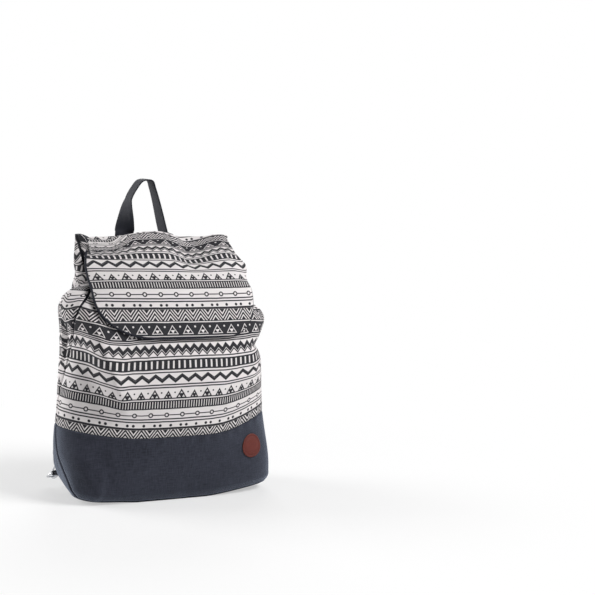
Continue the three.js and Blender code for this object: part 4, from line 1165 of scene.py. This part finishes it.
def build_ring(kind, side):
    node = f"{kind}_ring_{side}"
    bar, along = joint_place(f"{kind}_ring_swing_{side}")
    low, high = box_mm(node)
    reach = (low + high) / 2 - bar
    reach = unit(reach - along * (reach @ along))
    half = TAB_WIDTH / 2 + RING_BEND + FIT
    right = [(0, 0), (half - RING_BEND - 1, 0), (half - 0.6, 0.6), (half, RING_BEND + 1),
             (half, 0.55 * RING_DEPTH), (0.86 * half, 0.8 * RING_DEPTH), (0.5 * half, 0.955 * RING_DEPTH)]
    path = laid(bar, right + [(0, RING_DEPTH)] + [(-x, y) for x, y in right[:0:-1]], along, reach)
    path = smooth_line(np.vstack([path, path[:1]]), 97)[:-1]
    tangent = unit(np.roll(path, -1, axis=0) - np.roll(path, 1, axis=0))
    third = len(path) // 3
    flat = unit(np.cross(path[third] - path[0], path[2 * third] - path[0]))
    across = np.broadcast_to(flat, path.shape)
    rings = oval_rings(path, unit(np.cross(tangent, flat)), across, RING_WIRE / 2, RING_WIRE / 2)
    ring = loft(f"{kind}_d_ring_{side}", rings, np.zeros(rings.shape[:2] + (2,)), NICKEL, loop=True)
    dress(ring, "metal", node, body=node)


def build_tab(kind, side):
    """Webbing folded round the bar of a ring."""
    bar, along = joint_place(f"{kind}_ring_swing_{side}")
    up = np.array([0.0, 0.0, 1.0])
    out = unit(np.cross(up, along))
    radius = RING_EYE + WEBBING / 2
    if kind == "lower":
        tail = TAB_TAIL + RING_EYE + WEBBING - TAB_SHORTER
        bent, under, over = 0.6 * tail, -TAB_HALF, TAB_HALF
        loop = eye_loop(radius, -150, 150)
        first, second = out, up
    else:
        tail = UPPER_TAIL
        bent, under, over = 0.5 * tail, -radius, -radius + WEBBING + SLACK
        loop = eye_loop(radius, -90, 140)
        first, second = -up, out
    flat = [(-tail, under), (-bent, under)] + loop + [(-bent, over), (-tail, over)]
    at = smooth_line(laid(bar, flat, first, second), 60)
    wide = np.broadcast_to(along, at.shape)
    face = np.cross(tangents(at), wide)
    tab = ribbon(f"{kind}_tab_webbing_{side}", at, wide, face, TAB_WIDTH, WEBBING - SLACK)
    dress(tab, "webbing", f"{kind}_tab_{side}")


def build_strap(side, sign):
    """Strap sewn to the back panel, with a straight lower run and a loop round the hook's eye."""
    eye, down = joint_place(f"hook_swivel_{side}")
    x_axis = np.array([1.0, 0.0, 0.0])
    wide_end = unit(x_axis - down * down[0])
    lifted = unit(np.cross(wide_end, down))
    anchor = sign * STRAP_SPAN / 2
    top = BODY_HEIGHT - HANDLE_SEWN - STRAP_BELOW
    sewn = np.array([(anchor, float(face_y("back", anchor, z)) + 2 * SEAM + WEBBING / 2, z)
                     for z in np.linspace(top, top - STRAP_SEWN, 4)])
    start, finish = sewn[-1], eye - down * STRAP_STRAIGHT
    pull = np.linalg.norm(finish - start) * STRAP_PULL
    t = np.linspace(0, 1, 60)[1:, None]
    curve = ((1 - t) ** 3 * start + 3 * t * (1 - t) ** 2 * (start + pull * np.array([0, STRAP_OUT, -1.0]))
             + 3 * t * t * (1 - t) * (finish - down * pull) + t ** 3 * finish)
    run = eye - down * np.linspace(STRAP_STRAIGHT, STRAP_RUN_END, 20)[1:, None]
    loop = laid(eye, eye_loop(EYE_RADIUS + FIT + WEBBING / 2, -150, 150), down, lifted)
    tail = eye - down * np.linspace(STRAP_TAIL_START, STRAP_TAIL, 5)[:, None] + lifted * (WEBBING + SLACK)
    at = smooth_line(np.vstack([sewn, curve, run, loop, tail]), 260)
    tangent = tangents(at)
    share = np.clip(run_along(at) / (STRAP_SEWN + STRAP_TWIST * pull), 0, 1)[:, None]
    wide = x_axis * (1 - share) + wide_end * share
    wide = unit(wide - tangent * np.sum(wide * tangent, -1, keepdims=True))
    strap = ribbon(f"strap_{side}", at, wide, np.cross(wide, tangent), WEBBING_WIDTH, WEBBING)
    dress(strap, "webbing", f"shoulder_strap_{side}")


def finish_metal():
    """Fittings carried over from the frame, with rounded edges."""
    for name, node in frame["nodes"].items():
        if node.hide_render:
            continue
        nylon = name.startswith(("zip_tape", "zip_coil"))
        node.data.materials.clear()
        node.data.materials.append(NYLON if nylon else NICKEL)
        bevel = node.modifiers.new("edge", "BEVEL")
        bevel.width = 0.25 * MM
        bevel.segments = 2
        bevel.limit_method = "ANGLE"
        bevel.angle_limit = math.radians(40)
        node.data.polygons.foreach_set("use_smooth", np.full(len(node.data.polygons), True))
        node.modifiers.new("normals", "WEIGHTED_NORMAL")


# Stage, light and camera: the lights and the floor's fade in metres, the rest in millimetres
FLOOR = 6000.0
FLOOR_NEAR = 0.25
FLOOR_FAR = 0.75
FLOOR_WHITE = 0.45  # share of white near the bag
WORLD_LIGHT = 0.11
LIGHT_AIM = (0.0, 0.0, 0.2)
LIGHTS = {  # place, size and power
    "key": ((1.4, -1.5, 2.2), 1.2, 71),
    "fill": ((0.3, -2.3, 0.8), 1.4, 3),
    "side": ((-1.5, 1.1, 0.8), 1.2, 34),
    "rear": ((0.9, 1.8, 1.5), 1.2, 16),
}
IMAGE = 595.0  # pixels, as the next two values are
FOCAL = 1421.0
AIM_PIXEL = (161.4, 353.2)
AIM = Vector((0.0, 0.0, 220.0))
DISTANCE = 2200.0
AZIMUTH, ELEVATION, ROLL = [math.radians(angle) for angle in (-20.8, 8.7, 1.8)]
SENSOR = 36.0


def build_stage():
    """Pale floor: it keeps the shadow near the bag and turns into the white background farther off."""
    look = Look("floor", Roughness=0.9, Base_Color=(0.86, 0.86, 0.86, 1))
    corners = [(-FLOOR, -FLOOR, 0), (FLOOR, -FLOOR, 0), (FLOOR, FLOOR, 0), (-FLOOR, FLOOR, 0)]
    floor = add_mesh("floor", corners, [(0, 1, 2, 3)], [look.material])
    spread = {"Value": radial(*look.split(look.point())), "From Min": FLOOR_NEAR, "From Max": FLOOR_FAR,
              "To Min": FLOOR_WHITE}
    far = look.node("ShaderNodeMapRange", spread, "Result", interpolation_type="SMOOTHSTEP")
    white = look.node("ShaderNodeEmission", {"Strength": 1.0})
    mixed = look.mix_shader(far * look.seen(), Value(look, look.shader.outputs[0]), white)
    look.link(mixed, look.tree.nodes["Material Output"].inputs["Surface"])


def build_light():
    world = bpy.data.worlds.new("studio")
    bpy.context.scene.world = world
    world.use_nodes = True
    world.node_tree.nodes.clear()
    nodes = Nodes(world.node_tree)
    light, white = [nodes.node("ShaderNodeBackground", {"Color": (1, 1, 1, 1), "Strength": strength})
                    for strength in (WORLD_LIGHT, 1.0)]
    nodes.node("ShaderNodeOutputWorld", {0: nodes.mix_shader(nodes.seen(), light, white)})
    for name, (place, size, power) in LIGHTS.items():
        data = bpy.data.lights.new(name, "AREA")
        data.energy = power
        data.size = size
        lamp = add_object(name, data)
        lamp.location = place
        lamp.rotation_mode = "QUATERNION"
        lamp.rotation_quaternion = (Vector(LIGHT_AIM) - Vector(place)).to_track_quat("-Z", "Y")


def build_camera():
    """Camera at the photograph's viewing angle, turned so that its aim falls on the right pixel."""
    data = bpy.data.cameras.new("camera")
    data.sensor_width = SENSOR
    data.lens = FOCAL / IMAGE * SENSOR
    camera = add_object("camera", data)
    bpy.context.scene.camera = camera
    level = math.cos(ELEVATION)
    back = Vector((math.sin(AZIMUTH) * level, -math.cos(AZIMUTH) * level, math.sin(ELEVATION)))
    yaw, pitch = [math.atan((pixel - IMAGE / 2) / FOCAL) for pixel in AIM_PIXEL]
    ahead = Matrix.Rotation(yaw, 3, "Z") @ -back
    right = ahead.cross(Vector((0, 0, 1))).normalized()
    ahead = Matrix.Rotation(pitch, 3, right) @ ahead
    up = right.cross(ahead)
    tilted_right = right * math.cos(ROLL) + up * math.sin(ROLL)
    tilted_up = up * math.cos(ROLL) - right * math.sin(ROLL)
    turned = Matrix((tilted_right, tilted_up, -ahead)).transposed().to_4x4()
    camera.matrix_world = Matrix.Translation((AIM + back * DISTANCE) * MM) @ turned


build_body()
build_base()
build_flap()
build_binding()
build_handle()
build_patch()
for side, sign in (("left", -1), ("right", 1)):
    for kind in ("lower", "upper"):
        build_ring(kind, side)
        build_tab(kind, side)
    build_strap(side, sign)
finish_metal()
build_stage()
build_light()
build_camera()
bpy.context.scene.view_settings.view_transform = "Standard"
